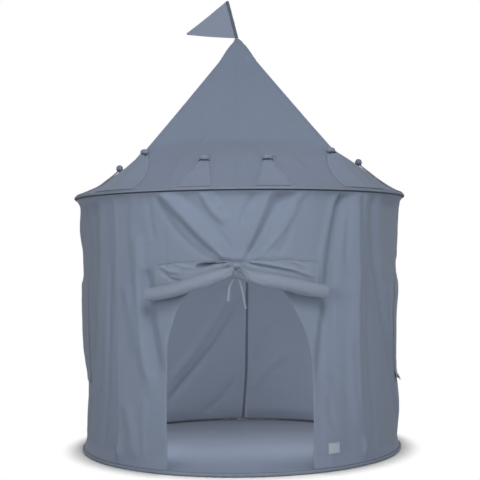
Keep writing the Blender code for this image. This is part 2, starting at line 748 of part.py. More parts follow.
def build_crown(tent, root, mats):
    """Points on the ridges and between them; the last rows of each swell into its stuffed tip."""
    length_shares = (0.0, 0.2, 0.45, 0.7, 1.0)
    width_shares = (1.0, 0.93, 0.75, 0.42, 0.0)
    rows = [s * (crown_length - tip_length) for s in length_shares]
    tip_shares = (0.18, 0.5, 0.82, 1.0)
    rows += [crown_length - tip_length + s * tip_length for s in tip_shares]

    def sizes(length):
        into = (length - (crown_length - tip_length)) / tip_length
        if into <= 0.0:
            wide = line(length, rows[:5], width_shares)
            return crown_neck_width + (crown_base_width - crown_neck_width) * wide, crown_cloth
        round_share = math.sqrt(max(0.0, 1.0 - (2.0 * into - 1.0) ** 2))
        round_share = max(round_share, 0.35)
        return tip_width * round_share, crown_cloth + (tip_thickness - crown_cloth) * round_share

    for k in range(crown_count):
        places = (crown_pair_angle + crown_turn, 45.0, 90.0 - crown_pair_angle + crown_turn)
        middle = places[k % 3] + 90.0 * (k // 3)
        heights = [climb(middle, row) for row in rows]

        def face(across, up, top, middle=middle, heights=heights):
            i = round(up * (len(rows) - 1))
            width, thick = sizes(rows[i])
            z = heights[i] + (gap if i == 0 else 0.0)
            out = 2.0 * across - 1.0
            angle = middle + math.degrees(out * width / 2.0 / roof_radius(middle, z))
            crest = math.sqrt(max(0.0, 1.0 - out * out)) if i >= 5 else 1.0
            over = crown_cloth + (thick - crown_cloth) * crest if top else 0.0
            return roof_place(angle, z, crown_lift + over)
        crown = panel("crown_point_%02d" % (k + 1), 6, len(rows) - 1, lambda a, u, f=face: f(a, u, True),
                      lambda a, u, f=face: f(a, u, False))
        put(crown, tent, mats["crown"], root)


# Door curtain: the hanging top, the roll and its tie

def roll_share(x):
    """How thick the roll is along its length, drawn in at the tie."""
    away = abs(x) / roll_half_length
    return line(away, roll_station_shares, roll_size_shares)


def roll_height(x):
    away = abs(x) / roll_half_length
    drop = line(away, roll_station_shares, roll_drop_shares)
    return roll_middle_height - (roll_middle_height - roll_end_height) * drop


def roll_line():
    """Distance of the roll's middle line from the tent's axis."""
    return (wall_mid_radius + base_line) / 2.0 + roll_standoff + curtain_roll_radius


def build_door(tent, cutters, root, mats):
    """The curtain is modelled straight in front, and then turned to where the door is."""
    door_root = bpy.data.objects.new("door_root", None)
    tent.objects.link(door_root)
    door_root.parent = root
    line_radius = roll_line()
    roll_origin = (0.0, -line_radius, roll_middle_height)

    # Roll, with the inner turns standing out at both ends
    points, shares = [], []
    for share in [-s for s in roll_station_shares[:0:-1]] + list(roll_station_shares):
        arc = roll_half_length * share
        points.append(front_point(line_radius, math.degrees(arc / line_radius), roll_height(arc)))
        shares.append(roll_share(arc))
    for end, neighbour in ((0, 1), (-1, -2)):
        way = (points[end] - points[neighbour]).normalized()
        for out in (gap, roll_core_length):
            place = len(points) if end else 0
            points.insert(place, points[place - 1 if end else 0] + way * out)
            shares.insert(place, roll_core_share)
    roll = baked(wire("door_roll", points, curtain_roll_radius, 12, shares=shares))
    roll = put(roll, tent, mats["curtain"], door_root, roll_origin)

    # Top of the curtain, sewn on above the arch and running down behind the roll
    def curtain_face(across, up, depth):
        angle = curtain_half_angle * (2.0 * across - 1.0)
        arc = math.radians(angle) * line_radius
        thick = curtain_roll_radius * roll_share(arc) + cloth
        spread = math.sqrt(0.5)
        notch = 3.0 * ribbon_cloth * max(0.0, 1.0 - abs(arc) / (2.0 * ribbon_width))
        low = roll_height(arc) + thick * spread + notch
        low_radius = line_radius - thick * spread + cloth / 2.0
        high_radius = wall_radius(angle + door_turn, curtain_top) + gap + cloth
        z = low + (curtain_top - low) * up
        return front_point(low_radius + (high_radius - low_radius) * up - depth, angle, z)
    curtain = panel("door_curtain", 22, 3, lambda a, u: curtain_face(a, u, 0.0),
                    lambda a, u: curtain_face(a, u, cloth))
    put(curtain, tent, mats["curtain"], door_root)

    # Tie: a band round the roll, a knot over it and two bow loops
    band_sides = 16
    band_radius = curtain_roll_radius * roll_share(ribbon_width / 2.0) / math.cos(math.pi / band_sides)
    band_radius += gap + ribbon_cloth / 2.0
    ring = [(band_radius * math.cos(a), band_radius * math.sin(a))
            for a in (2.0 * math.pi * i / band_sides for i in range(band_sides))]
    facing_x = Matrix.Rotation(math.radians(90.0), 4, "Z") @ Matrix.Rotation(math.radians(90.0), 4, "X")
    centre = Vector((0.0, -line_radius, roll_middle_height))
    tie = baked(ribbon("door_tie", ring, ribbon_width, ribbon_cloth, Matrix.Translation(centre) @ facing_x))
    knot_reach = band_radius + knot_radius - ribbon_cloth / 2.0
    knot_turn = math.radians(knot_angle)
    knot_place = centre + Vector((0.0, -math.cos(knot_turn), math.sin(knot_turn))) * knot_reach
    bow_y = -line_radius - curtain_roll_radius - gap - bow_cloth_width / 2.0
    bm = bmesh.new()
    bmesh.ops.create_uvsphere(bm, u_segments=8, v_segments=6, radius=knot_radius,
                              matrix=Matrix.Translation(knot_place))
    boolean(tie, "UNION", mesh_object("knot", bm), cutters, door_root)
    for name, length, turn in (("bow_right", bow_long, -32.0), ("bow_left", bow_short, 24.0)):
        loop = []
        for i in range(10):
            a = math.radians(36.0 * i)
            swell = 0.5 * (1.0 - math.cos(a))
            loop.append((bow_width / 2.0 * math.sin(a) * math.sqrt(swell), -length * swell))
        upright = Matrix.Rotation(math.radians(90.0), 4, "X") @ Matrix.Rotation(math.radians(-turn), 4, "Z")
        place = Matrix.Translation((knot_place.x, bow_y, knot_place.z))
        bow = baked(ribbon(name, loop, bow_cloth_width, ribbon_cloth, place @ upright))
        boolean(tie, "UNION", bow, cutters, door_root)
    put(tie, tent, mats["ribbon"], roll, centre)

    # Tails that hang from under the band
    top = roll_middle_height - band_radius - ribbon_cloth / 2.0 - gap
    tails = (("left", -1.0, tail_short, tail_short_out, tail_short_share),
             ("right", 1.0, tail_long, tail_long_out, tail_long_share))
    for side, sign, length, out, share in tails:
        edge = []
        steps = 8
        for i in range(steps + 1):
            s = i / steps
            away = share * (1.0 - (1.0 - s) ** 4) + (1.0 - share) * s * s
            edge.append((sign * (tail_width / 2.0 + gap + out * away), -length * s))
        outline = [(x - tail_width / 2.0, z) for x, z in edge] + [(x + tail_width / 2.0, z)
                                                                  for x, z in reversed(edge)]
        upright = Matrix.Rotation(math.radians(90.0), 4, "X")
        tail = baked(plate("door_tie_tail_" + side, outline, tail_cloth,
                           Matrix.Translation((0.0, -line_radius, top)) @ upright))
        put(tail, tent, mats["ribbon"], roll, (0.0, -line_radius, top))
    door_root.rotation_euler.z = math.radians(door_turn)


def main():
    clear_scene()
    tent = collection("play_tent")
    cutters = collection("cutters")
    root = bpy.data.objects.new("tent_root", None)
    tent.objects.link(root)
    mats = {
        "wall": material("wall cloth", (0.205, 0.246, 0.314), 0.9),
        "roof": material("roof cloth", (0.178, 0.209, 0.275), 0.9),
        "crown": material("crown cloth", (0.195, 0.229, 0.296), 0.9),
        "curtain": material("curtain cloth", (0.226, 0.270, 0.346), 0.88),
        "flag": material("flag cloth", (0.230, 0.247, 0.305), 0.88),
        "floor": material("floor cloth", (0.178, 0.213, 0.287), 0.9),
        "trim": material("casing cloth", (0.105, 0.125, 0.168), 0.85),
        "lining": material("lining cloth", (0.150, 0.178, 0.235), 0.9),
        "seam": material("seam binding", (0.022, 0.025, 0.035), 0.9),
        "net": material("window net", (0.120, 0.140, 0.180), 0.8),
        "ribbon": material("ribbon", (0.270, 0.310, 0.380), 0.8),
        "label": material("label cloth", (0.300, 0.330, 0.370), 0.8),
        "rod": material("sprung rod", (0.350, 0.360, 0.380), 0.35, 0.9),
        "pole": material("pole", (0.620, 0.610, 0.590), 0.45),
        "plastic": material("fitting plastic", (0.060, 0.062, 0.068), 0.5),
    }
    build_frame(tent, cutters, root, mats)
    build_apex(tent, cutters, root, mats)
    build_floor(tent, root, mats)
    build_walls(tent, cutters, root, mats)
    build_roof(tent, root, mats)
    build_crown(tent, root, mats)
    build_door(tent, cutters, root, mats)


main()
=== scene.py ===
"""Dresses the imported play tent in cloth, ribbon and thread, and sets up its stage.

Metres, +Z up, the doorway faces -Y. Angles are in degrees, counted from the door towards +X.
"""

import math

import bpy
import numpy as np
from bpy.props import FloatProperty, FloatVectorProperty, PointerProperty
from mathutils import Matrix, Vector


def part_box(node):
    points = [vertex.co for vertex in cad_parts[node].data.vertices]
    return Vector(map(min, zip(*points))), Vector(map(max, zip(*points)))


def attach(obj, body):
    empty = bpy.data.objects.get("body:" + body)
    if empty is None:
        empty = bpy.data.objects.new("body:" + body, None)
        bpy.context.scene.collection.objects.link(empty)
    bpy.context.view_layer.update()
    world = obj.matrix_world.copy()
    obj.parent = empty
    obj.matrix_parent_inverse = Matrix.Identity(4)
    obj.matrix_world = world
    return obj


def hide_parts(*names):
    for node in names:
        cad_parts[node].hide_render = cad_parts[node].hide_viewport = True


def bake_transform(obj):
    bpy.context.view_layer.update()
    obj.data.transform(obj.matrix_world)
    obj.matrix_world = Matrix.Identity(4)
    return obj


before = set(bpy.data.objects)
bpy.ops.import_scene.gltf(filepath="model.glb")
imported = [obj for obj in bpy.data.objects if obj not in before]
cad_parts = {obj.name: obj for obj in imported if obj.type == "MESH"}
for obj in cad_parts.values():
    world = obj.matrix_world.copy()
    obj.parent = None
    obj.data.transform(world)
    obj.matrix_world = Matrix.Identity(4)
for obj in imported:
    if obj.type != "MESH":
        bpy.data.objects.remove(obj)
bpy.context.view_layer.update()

bl_info = {
    "name": "Play Tent Dresser",
    "version": (1, 0, 0),
    "blender": (4, 5, 0),
    "location": "3D View > Sidebar > Play Tent",
    "description": "Cloth, ribbon and thread for a round play tent, with its stage",
    "category": "Object",
}

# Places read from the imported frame
eave_height = sum(corner.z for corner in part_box("eave_hoop")) / 2.0
mast_top_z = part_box("flag_mast")[1].z
flag_foot_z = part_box("flag")[0].z

# Hoops, walls and poles, as the frame has them
casing_radius = 0.0055
gap = 0.0003
eave_line = 0.4945
base_line = 0.4775
wall_bottom = 2.0 * casing_radius + gap
wall_top = eave_height - casing_radius - gap
wall_heights = (wall_bottom, 0.029, 0.340, 0.600, 0.733, wall_top)
wall_radii = (0.4775, 0.4725, 0.4748, 0.4775, 0.4845, 0.4945)
wall_mid_radius = 0.4748
metre_scale = np.array([math.radians(1.0) * wall_mid_radius, 1.0])
corner_angles = {"front_right": 45.0, "back_right": 135.0, "back_left": 225.0, "front_left": 315.0}
back_seam = 178.0
pole_foot_radius, pole_head_radius = 0.4622, 0.4738
sleeve_radius, sleeve_low, sleeve_high = 0.00668, 0.082, 0.722

# Studio floor: matte under the tent, white further out
matte_radius, white_radius, studio_width = 0.475, 0.550, 24.0

# Flat sizes in metres of what is cut from the cloth
casing_width = 0.0288
panel_flat, strip_flat, collar_flat = (0.777, 0.63), (0.010, 0.60), (0.090, 0.0148)

# Roof: a square pyramid above, drawn out to the round eave below
roof_bottom = eave_height + casing_radius + gap
ridge_rise = 0.402
ridge_heights = (0.0, ridge_rise, 0.446, 0.467, 0.4775)
ridge_radii = (eave_line, 0.0806, 0.0444, 0.0245, 0.0140)
square_heights = (0.0, 0.035, 0.07, 0.11, 0.16, 0.25, 0.36, 1.0)
square_forms = (0.0, 0.174, 0.256, 0.295, 0.346, 0.509, 0.97, 1.0)
mouth_rise = ridge_heights[-1]
roof_mid_radius = 0.45

# Crown points: angle of the middle, what single points have of their own (turn and lean in degrees, extra
# length, plumper tip), and half widths from the neck down to the eave
crown_middles = [90.0 * (k // 3) + (12.3, 45.0, 75.3)[k % 3] for k in range(12)]
crown_length = 0.160
crown_turn, crown_turns = -0.3, {1: -1.8, 2: -2.2, 10: 1.4, 9: 0.4}
crown_leans = {0: -1.9, 11: 1.0}
crown_extra = {2: 0.010, 9: -0.005}
crown_plumps = {2: 1.3, 9: 1.3}
tip_length, tip_halves, tip_plump = 0.017, (0.0136, 0.0078, 0.0080), 1.08
thread_halves, thread_radius = (0.0138, 0.0036), 0.0012
crown_steps = (0.0, 0.08, 0.27, 0.45, 0.62, 1.0)
crown_plain = (0.0145, 0.0185, 0.0270, 0.0350, 0.0400, 0.0445)
crown_ridge = (0.0150, 0.0225, 0.0440, 0.0570, 0.0670, 0.0840)
crown_inner = (0.0145, 0.0170, 0.0225, 0.0280, 0.0330, 0.0437)
crown_outer = (0.0145, 0.0170, 0.0240, 0.0440, 0.0462, 0.0475)

# Mast and flag
mast_tilt = math.radians(14.0)
mast_pass = (-0.0015, 1.2400)
mast_radius = 0.0030
flag_tip = (-0.1559, 1.2600)

# Doorway: half width and middle at each height, then the arch above
door_leg_heights, door_leg_widths = (0.0, 0.13, 0.30), (0.196, 0.199, 0.195)
door_middle_heights = (0.0, 0.25, 0.30, 0.3765, 0.435, 0.60)
door_middles = (-0.0040, -0.0040, -0.0052, -0.0097, -0.0122, -0.0118)
door_spring, door_top = 0.300, 0.552

# Door curtain: its seam on the wall, the roll's line, and how thick the roll is along it
curtain_ends = (-28.7, 25.8)
seam_angles = (-28.7, -24.0, -13.0, -4.0, -1.2, 2.0, 14.0, 22.0, 25.8)
seam_heights = (0.5560, 0.5620, 0.5680, 0.5665, 0.5610, 0.5655, 0.5700, 0.5650, 0.5610)
seam_stitch_angle = 0.42
slit_angles, slit_heights = (-19.0, -13.5, -9.6, -7.6, -2.5), (0.5405, 0.5440, 0.5530, 0.5575, 0.5610)
roll_line = 0.49895
roll_reach = (-0.2515, 0.2265)
tie_arc = -0.0096
roll_arcs = (-0.270, -0.250, -0.202, -0.154, -0.105, -0.065, -0.030,
             tie_arc, 0.012, 0.047, 0.092, 0.146, 0.195, 0.245)
roll_heights = (0.4775, 0.4795, 0.4860, 0.4985, 0.5130, 0.5255, 0.5375,
                0.5405, 0.5300, 0.5200, 0.5120, 0.5005, 0.4890, 0.4825)
roll_sizes = (0.88, 0.92, 0.92, 0.90, 1.00, 1.04, 0.84, 0.64, 0.86, 0.97, 1.00, 1.03, 1.04, 0.90)
knot_place, knot_size = (-0.0092, -0.5135, 0.5540), (0.0072, 0.0050, 0.0056)
tail_top = 0.5234

# Windows, back seam and label
window_half_angle, window_low, window_high, window_corner = 15.0, 0.250, 0.490, 0.030
cover_half_angle, cover_low, cover_high = 20.0, 0.214, 0.522
cover_width = 2.0 * math.radians(cover_half_angle) * 0.48
cover_seam_angle, cover_seam_low, cover_seam_high = 18.6, 0.226, 0.518
binding_half_angle, binding_flat = 0.56, (0.0102, 0.692)
binding_heights, binding_angles = (0.012, 0.157, 0.481, 0.704), (179.4, 177.8, 177.0, 177.6)
label_angle, label_width, label_height, label_middle = 31.5, 0.036, 0.029, 0.0605
net_pitch, net_thread = 0.0024, 0.39

# Bulges of the side walls (degrees) and lips over the curtain (metres): depth, middle and spread across,
# then middle and spread in height
bulges = ((0.0120, 84.0, 18.0, 0.13, 0.09), (0.0060, 84.0, 18.0, 0.48, 0.05),
          (0.0065, -84.0, 18.0, 0.66, 0.05), (-0.0085, -84.0, 18.0, 0.20, 0.08))
lips = ((0.0100, -0.030, 0.060, 0.572, 0.014), (0.0050, 0.060, 0.060, 0.576, 0.012))

# Folds in millimetres and degrees: depth (+ is out), half width at both ends, lean to one side, and then
# the angle and the height of each place that the fold runs through
front_folds = (
    (-5, 14, 8, 0, -27, 766, -25.8, 712, -23.6, 680, -20.4, 643, -16.3, 609, -11.7, 583, -7.5, 565),
    (17.5, 30, 16, 0.34, -26.8, 764, -20.2, 704, -16.1, 669, -11.8, 630, -7.9, 599, -3.1, 565),
    (-3, 14, 8, 0, -22.6, 764, -16.1, 722, -12.2, 698, -8.9, 667, -5.7, 633, -2.5, 578),
    (9.5, 18, 10, 0.3, -13, 766, -10.3, 717, -7.7, 688, -4.5, 662),
    (4, 10, 8, 0, -9.6, 750, -5.8, 704, -3.2, 667),
    (-6, 14, 10, 0, 5.4, 766, 3.6, 720, 1.7, 694, 0.5, 660),
    (6, 20, 9, 0, 10.4, 766, 8.3, 713, 6.5, 679, 4.6, 642, 2.8, 605, 0.6, 571),
    (-14, 30, 14, -0.15, 16.8, 766, 12.2, 713, 9.3, 668, 6.8, 626, 4, 595, 1.6, 568),
    (5, 17, 8, 0, 20.2, 760, 16.8, 691, 13.5, 645, 9.4, 603, 5.6, 576),
    (-3.5, 13, 10, 0, 16.5, 654, 14.9, 614, 12, 580),
    (4, 14, 12, 0, 32.9, 766, 30.4, 691, 28.6, 629, 27.1, 565, 26.8, 517),
    (-15, 18, 30, 0.35, 35.4, 766, 33.2, 692, 31.7, 624, 30.6, 565, 29.5, 504, 28.8, 437, 27.5, 344, 26.1,
     251),
    (10.5, 26, 28, -0.35, 41.1, 745, 41.7, 639, 42.4, 530, 41.6, 435, 41.8, 325, 42.6, 187, 43.6, 85),
    (-4.5, 24, 24, 0.2, 33, 560, 32.7, 463, 32.1, 356, 31.9, 222),
    (4, 16, 14, 0, 38.4, 360, 38.8, 290, 39.6, 204, 41.4, 120),
    (10.5, 24, 24, -0.1, -35.5, 640, -35.4, 525, -34.8, 430, -33.8, 323, -31.2, 231),
    (-15, 24, 24, 0.15, -33.2, 545, -32.5, 458, -31.6, 392, -30, 326, -28, 260),
    (5.5, 24, 24, 0, -41.2, 500, -38.3, 408, -36.8, 320),
    (6, 22, 22, 0, -41.6, 180, -39.1, 103, -37.6, 30),
    (3, 13, 12, 0, -33.6, 202, -34.3, 107, -33.8, 27),
    (-3.5, 12, 12, 0, 30, 200, 31, 130, 34, 95),
    (3, 18, 16, 0, -37, 740, -38, 640, -38, 560),
    (-3, 14, 12, 0, -31, 750, -30, 690, -29, 620),
    (-3.5, 12, 10, 0, 38, 750, 37.6, 650, 37.2, 560),
)
side_folds = (
    (5, 21, 19, 0, -52.8, 755, -53.3, 648, -54.4, 558, -56.3, 423, -59.2, 308, -61.5, 164),
    (-6.5, 18, 18, 0, -58, 750, -58.6, 640, -60, 520, -62.5, 400, -64, 280),
    (-7, 14, 16, 0, -48.6, 560, -49.4, 454, -50.2, 343, -51.6, 231, -54.3, 116, -56.3, 44),
    (4.5, 21, 21, 0, -67, 740, -67.5, 600, -68, 540),
    (-7.5, 19, 19, 0, 48.4, 764, 50.3, 655, 53.1, 544, 56.9, 431, 61.5, 315, 67.4, 196, 73, 73),
    (4.5, 22, 22, 0, 52.6, 754, 55, 640, 58.2, 530),
    (6.5, 29, 26, 0, 60.5, 500, 63, 400, 67, 300),
    (-5, 16, 18, 0, 47.2, 461, 48, 350, 49, 239, 50.4, 127, 51.8, 29),
    (5, 26, 22, 0, 78, 740, 79, 640, 80, 560),
    (-5, 22, 22, 0, -82, 740, -83, 640, -84, 560),
    (5, 29, 26, 0, 100, 750, 101, 640, 103, 550),
    (-4.5, 24, 24, 0, 118, 740, 119, 500, 122, 250, 124, 80),
    (4.5, 26, 26, 0, -104, 740, -105, 640, -106, 550),
    (-4.5, 24, 24, 0, -121, 740, -122, 480, -120, 240, -118, 70),
    (4, 26, 26, 0, -72, 180, -73, 120, -75, 50),
    (4, 29, 26, 0, 112, 180, 112, 120, 110, 50),
)
back_folds = (
    (10.5, 18, 16, 0, 178.6, 440, 183.5, 360, 191.1, 265, 202, 165, 213, 75),
    (-6.5, 20, 18, 0, 184, 450, 192, 345, 201, 240, 212, 150),
    (5, 16, 14, 0, 181.5, 150, 188, 85, 196, 30),
    (5.5, 18, 16, 0, 176, 200, 171, 283, 163, 350),
    (-5, 18, 16, 0, 176, 110, 168, 190, 158, 250),
    (4, 20, 18, 0, 150, 400, 158, 300, 165, 160),
    (4.5, 16, 15, 0, 148, 740, 149, 600, 152, 480),
    (-5, 14, 14, 0, 164, 740, 163, 620, 160, 520),
    (-4.5, 15, 14, 0, 203, 740, 202, 620, 199, 500),
    (4.5, 16, 15, 0, 214, 720, 213, 560, 214, 400),
)
roof_folds = (
    (6.5, 8, 7, 0, -1, 768, -0.5, 800, -0.6, 848),
    (-6.5, 22, 18, -0.2, 4.5, 768, 5.5, 810, 3.6, 850),
    (5.5, 18, 14, 0, 2, 890, 6, 862, 10.5, 835),
    (-6, 26, 22, 0, 9, 905, 13, 865, 20, 815),
    (3.5, 20, 18, 0, -8, 775, -9, 820, -14, 870),
    (-3, 20, 16, 0, 28, 785, 29, 820, 25, 880),
    (3, 22, 18, 0, -24, 790, -26, 850, -20, 940),
)
curtain_folds = (
    (4.6, 7, 6, 0, -27, 556, -23.8, 541, -19.8, 536),
    (-4.6, 6, 6, 0, -26.2, 538, -22.4, 518, -19, 514),
    (4.14, 6, 7, 0, 3, 566, 9.5, 555, 17, 542, 24, 522),
    (-4.14, 5, 6, 0, 2.6, 558, 6.8, 549, 12, 541, 18, 530),
    (3.22, 5, 5, 0, 16, 566, 19, 556, 21, 545),
    (-2.76, 5, 5, 0, 18.5, 566, 22, 552),
    (2.76, 6, 6, 0, -21, 560, -18, 551, -15, 548),
)


def a_number(name, description, default, low, high, **more):
    return FloatProperty(name=name, description=description, default=default, min=low, max=high, **more)


def a_length(name, description, default, low, high):
    return a_number(name, description, default, low, high, precision=4, unit="LENGTH")


def a_power(name, description, default):
    return a_number(name, description, default, 0.0, 500.0, unit="POWER")


def a_colour(name, description, default):
    return FloatVectorProperty(name=name, description=description, default=default, size=3, min=0.0, max=1.0,
                               subtype="COLOR")


class TentSizes(bpy.types.PropertyGroup):
    """Sizes that a user would change."""
    cloth: a_length("Cloth", "Thickness of the wall and roof cloth", 0.0012, 0.0004, 0.003)
    fold_share: a_number("Fold depth", "Depth of the main folds beside the photographed ones", 1.0, 0.0, 2.0,
                         subtype="FACTOR")
    swell: a_length("Soft waves", "Depth of the slow waves in the hanging cloth", 0.0030, 0.0, 0.01)
    crease: a_length("Creases", "Depth of the small creases", 0.0007, 0.0, 0.003)
    pucker: a_length("Puckers", "Depth of the puckers along the seams", 0.0014, 0.0, 0.004)
    pole_corner: a_length("Pole corner", "How far the poles push the wall out", 0.0048, 0.0, 0.012)
    roll_turns: a_number("Roll turns", "Turns of cloth in the rolled curtain", 4.3, 2.0, 6.0)
    roll_radius: a_length("Roll radius", "Radius of the rolled curtain", 0.0208, 0.01, 0.03)
    ribbon_width: a_length("Ribbon width", "Width of the tie's ribbon", 0.0104, 0.004, 0.02)
    stitch_length: a_length("Stitch", "Length of one stitch", 0.0036, 0.002, 0.006)
    weave_pitch: a_length("Weave", "Distance between two threads of the weave", 0.0011, 0.0004, 0.003)
    wall_step: a_length("Wall mesh step", "Distance between points of the wall's mesh", 0.0050, 0.003, 0.02)


class TentColours(bpy.types.PropertyGroup):
    """Colours of the cloth and the fittings."""
    wall: a_colour("Wall", "Cloth of the walls", (0.212, 0.256, 0.344))
    roof: a_colour("Roof", "Cloth of the roof", (0.200, 0.242, 0.330))
    crown: a_colour("Crown", "Cloth of the crown points", (0.216, 0.259, 0.350))
    curtain: a_colour("Curtain", "Cloth of the door curtain", (0.236, 0.278, 0.358))
    floor: a_colour("Floor", "Cloth of the floor", (0.168, 0.209, 0.298))
    casing: a_colour("Casing", "Tape round the two hoops", (0.200, 0.236, 0.308))
    # Painted shade: the dark band along the underside of both casings, where shade falls
    casing_shade: a_colour("Casing shade", "Dark edge along the casings", (0.030, 0.037, 0.056))
    hem: a_colour("Hem", "Binding of the door and the windows", (0.224, 0.265, 0.342))
    seam: a_colour("Back seam", "Binding inside the back seam", (0.100, 0.118, 0.165))
    flag: a_colour("Flag", "Cloth of the pennant", (0.244, 0.286, 0.372))
    flag_band: a_colour("Flag sleeve", "Sleeve of the pennant", (0.120, 0.136, 0.180))
    ribbon: a_colour("Ribbon", "Tie ribbon", (0.262, 0.304, 0.382))
    thread: a_colour("Thread", "Sewing thread", (0.262, 0.305, 0.385))
    # Painted shade: this near-black thread stands for the shade under the crown's tips and along the
    # curtain's seam
    shade_thread: a_colour("Dark thread", "Thread that ties off the crown's tips", (0.030, 0.035, 0.050))
    label: a_colour("Label", "Bare woven label", (0.440, 0.480, 0.550))
    net: a_colour("Net", "Window net", (0.120, 0.140, 0.180))
    pole: a_colour("Pole", "Glass fibre poles and mast", (0.560, 0.550, 0.520))
    fitting: a_colour("Fitting", "Moulded fittings", (0.060, 0.062, 0.068))
    steel: a_colour("Hoop", "Sprung steel hoops", (0.200, 0.210, 0.230))


class TentStage(bpy.types.PropertyGroup):
    """Camera, lamps and floor."""
    eye_distance: a_length("Eye distance", "From the tent's axis to the camera", 3.22, 1.0, 10.0)
    eye_height: a_length("Eye height", "Height of the camera", 0.576, 0.1, 3.0)
    lens: a_number("Lens", "Focal length in millimetres", 78.7, 20.0, 200.0)
    roll: FloatProperty(name="Roll", description="Lean of the camera", default=-0.01, subtype="ANGLE")
    shift: a_number("Shift", "Upward shift of the frame", 0.0354, -0.2, 0.2)
    key: a_power("Key", "Power of the lamp at the left", 9.0)
    front: a_power("Front", "Power of the lamp over the camera", 30.0)
    fill: a_power("Fill", "Power of the lamp at the right", 10.0)
    back: a_power("Back", "Power of each of the two lamps behind", 15.0)
    inner: a_power("Inner", "Daylight that comes through the tent's thin cloth", 5.7)
    sky: a_number("Sky", "Strength of the even light", 0.16, 0.0, 1.0)
    floor: a_colour("Floor", "Studio floor", (0.86, 0.86, 0.86))


def sizes():
    return bpy.context.scene.tent_sizes


def colours():
    return bpy.context.scene.tent_colours


# Numbers over a surface

def lattice(ix, iy, seed):
    """A repeatable number from -1 to 1 for each crossing of a lattice."""
    mixed = (ix * 374761393 + iy * 668265263 + seed * 974634777) & 0xFFFFFFFF
    mixed = ((mixed ^ (mixed >> 13)) * 1274126177) & 0xFFFFFFFF
    return ((mixed ^ (mixed >> 16)) & 0xFFFFFF) / 8388607.5 - 1.0


def noise(u, v, seed):
    """Smooth noise from -1 to 1."""
    iu, iv = np.floor(u).astype(np.int64), np.floor(v).astype(np.int64)
    fu, fv = u - iu, v - iv
    fu, fv = fu ** 3 * (fu * (6.0 * fu - 15.0) + 10.0), fv ** 3 * (fv * (6.0 * fv - 15.0) + 10.0)
    low = lattice(iu, iv, seed) * (1.0 - fu) + lattice(iu + 1, iv, seed) * fu
    high = lattice(iu, iv + 1, seed) * (1.0 - fu) + lattice(iu + 1, iv + 1, seed) * fu
    return low * (1.0 - fv) + high * fv


def smooth(x):
    x = np.clip(x, 0.0, 1.0)
    return x * x * (3.0 - 2.0 * x)


def softened(x, places, values, reach):
    """Straight runs between places, rounded where they meet."""
    x = np.asarray(x, float)
    held = np.clip(np.minimum(x - places[0], places[-1] - x), 0.0, reach)
    return sum(np.interp(x + held * k, places, values) for k in (-1.0, -0.6, -0.25, 0.25, 0.6, 1.0)) / 6.0


def mast_across(z):
    """How far from the tent's axis the leaning mast passes a height."""
    return mast_pass[0] - (z - mast_pass[1]) * math.tan(mast_tilt)


def gone_along(points):
    """How far each point lies along its line."""
    return np.concatenate(([0.0], np.cumsum(np.linalg.norm(np.diff(points, axis=0), axis=1))))


def unit(vectors):
    return vectors / np.linalg.norm(vectors, axis=-1, keepdims=True)


def mound(x, z, depth, x_middle, x_spread, z_middle, z_spread):
    return depth * np.exp(-((x - x_middle) / x_spread) ** 2 - ((z - z_middle) / z_spread) ** 2)


def fold_depth(across, up, folds, radius):
    """Sum of the folds at places in metres across and up; each has a sharp crest and straight flanks."""
    total = np.zeros_like(across)
    for depth, wide_start, wide_end, lean, *route in folds:
        points = np.reshape(route, (-1, 2)) * (math.radians(1.0) * radius, 0.001)
        gone = gone_along(points)
        runs = np.diff(gone)
        nearest, share, hand = np.full_like(across, 9.0), np.zeros_like(across), np.zeros_like(across)
        for i, run in enumerate(runs):
            way = (points[i + 1] - points[i]) / run
            held = np.clip((across - points[i, 0]) * way[0] + (up - points[i, 1]) * way[1], 0.0, run)
            off_x, off_z = across - points[i, 0] - way[0] * held, up - points[i, 1] - way[1] * held
            away = np.hypot(off_x, off_z)
            closer = away < nearest
            hand = np.where(closer, way[0] * off_z - way[1] * off_x, hand)
            nearest = np.where(closer, away, nearest)
            share = np.where(closer, (gone[i] + held) / gone[-1], share)
        width = 0.001 * (wide_start + (wide_end - wide_start) * share) * (1.0 + lean * np.tanh(hand / 0.002))
        left = 1.12 - np.hypot(nearest / width, 0.12)
        flank = (left + np.hypot(left, 0.14)) / 2.0
        total += 0.001 * depth * flank * smooth(share / 0.12 + 0.35) * smooth((1.0 - share) / 0.16 + 0.30)
    return total


def joined(*columns):
    """Points from their coordinates."""
    return np.stack(columns, axis=1)


def round_about(middle, side, up, angle, wide, tall):
    """Points round a middle, by their angle and how far they reach along two directions."""
    return middle + side * (np.cos(angle) * wide)[:, None] + up * (np.sin(angle) * tall)[:, None]


def turned(angle):
    return (angle + 180.0) % 360.0 - 180.0


def radial(radius, angle, z):
    """Points at a distance from the tent's axis, by angle and height."""
    a = np.radians(angle)
    x, y = radius * np.sin(a), -radius * np.cos(a)
    return np.stack(np.broadcast_arrays(x, y, z), axis=-1)


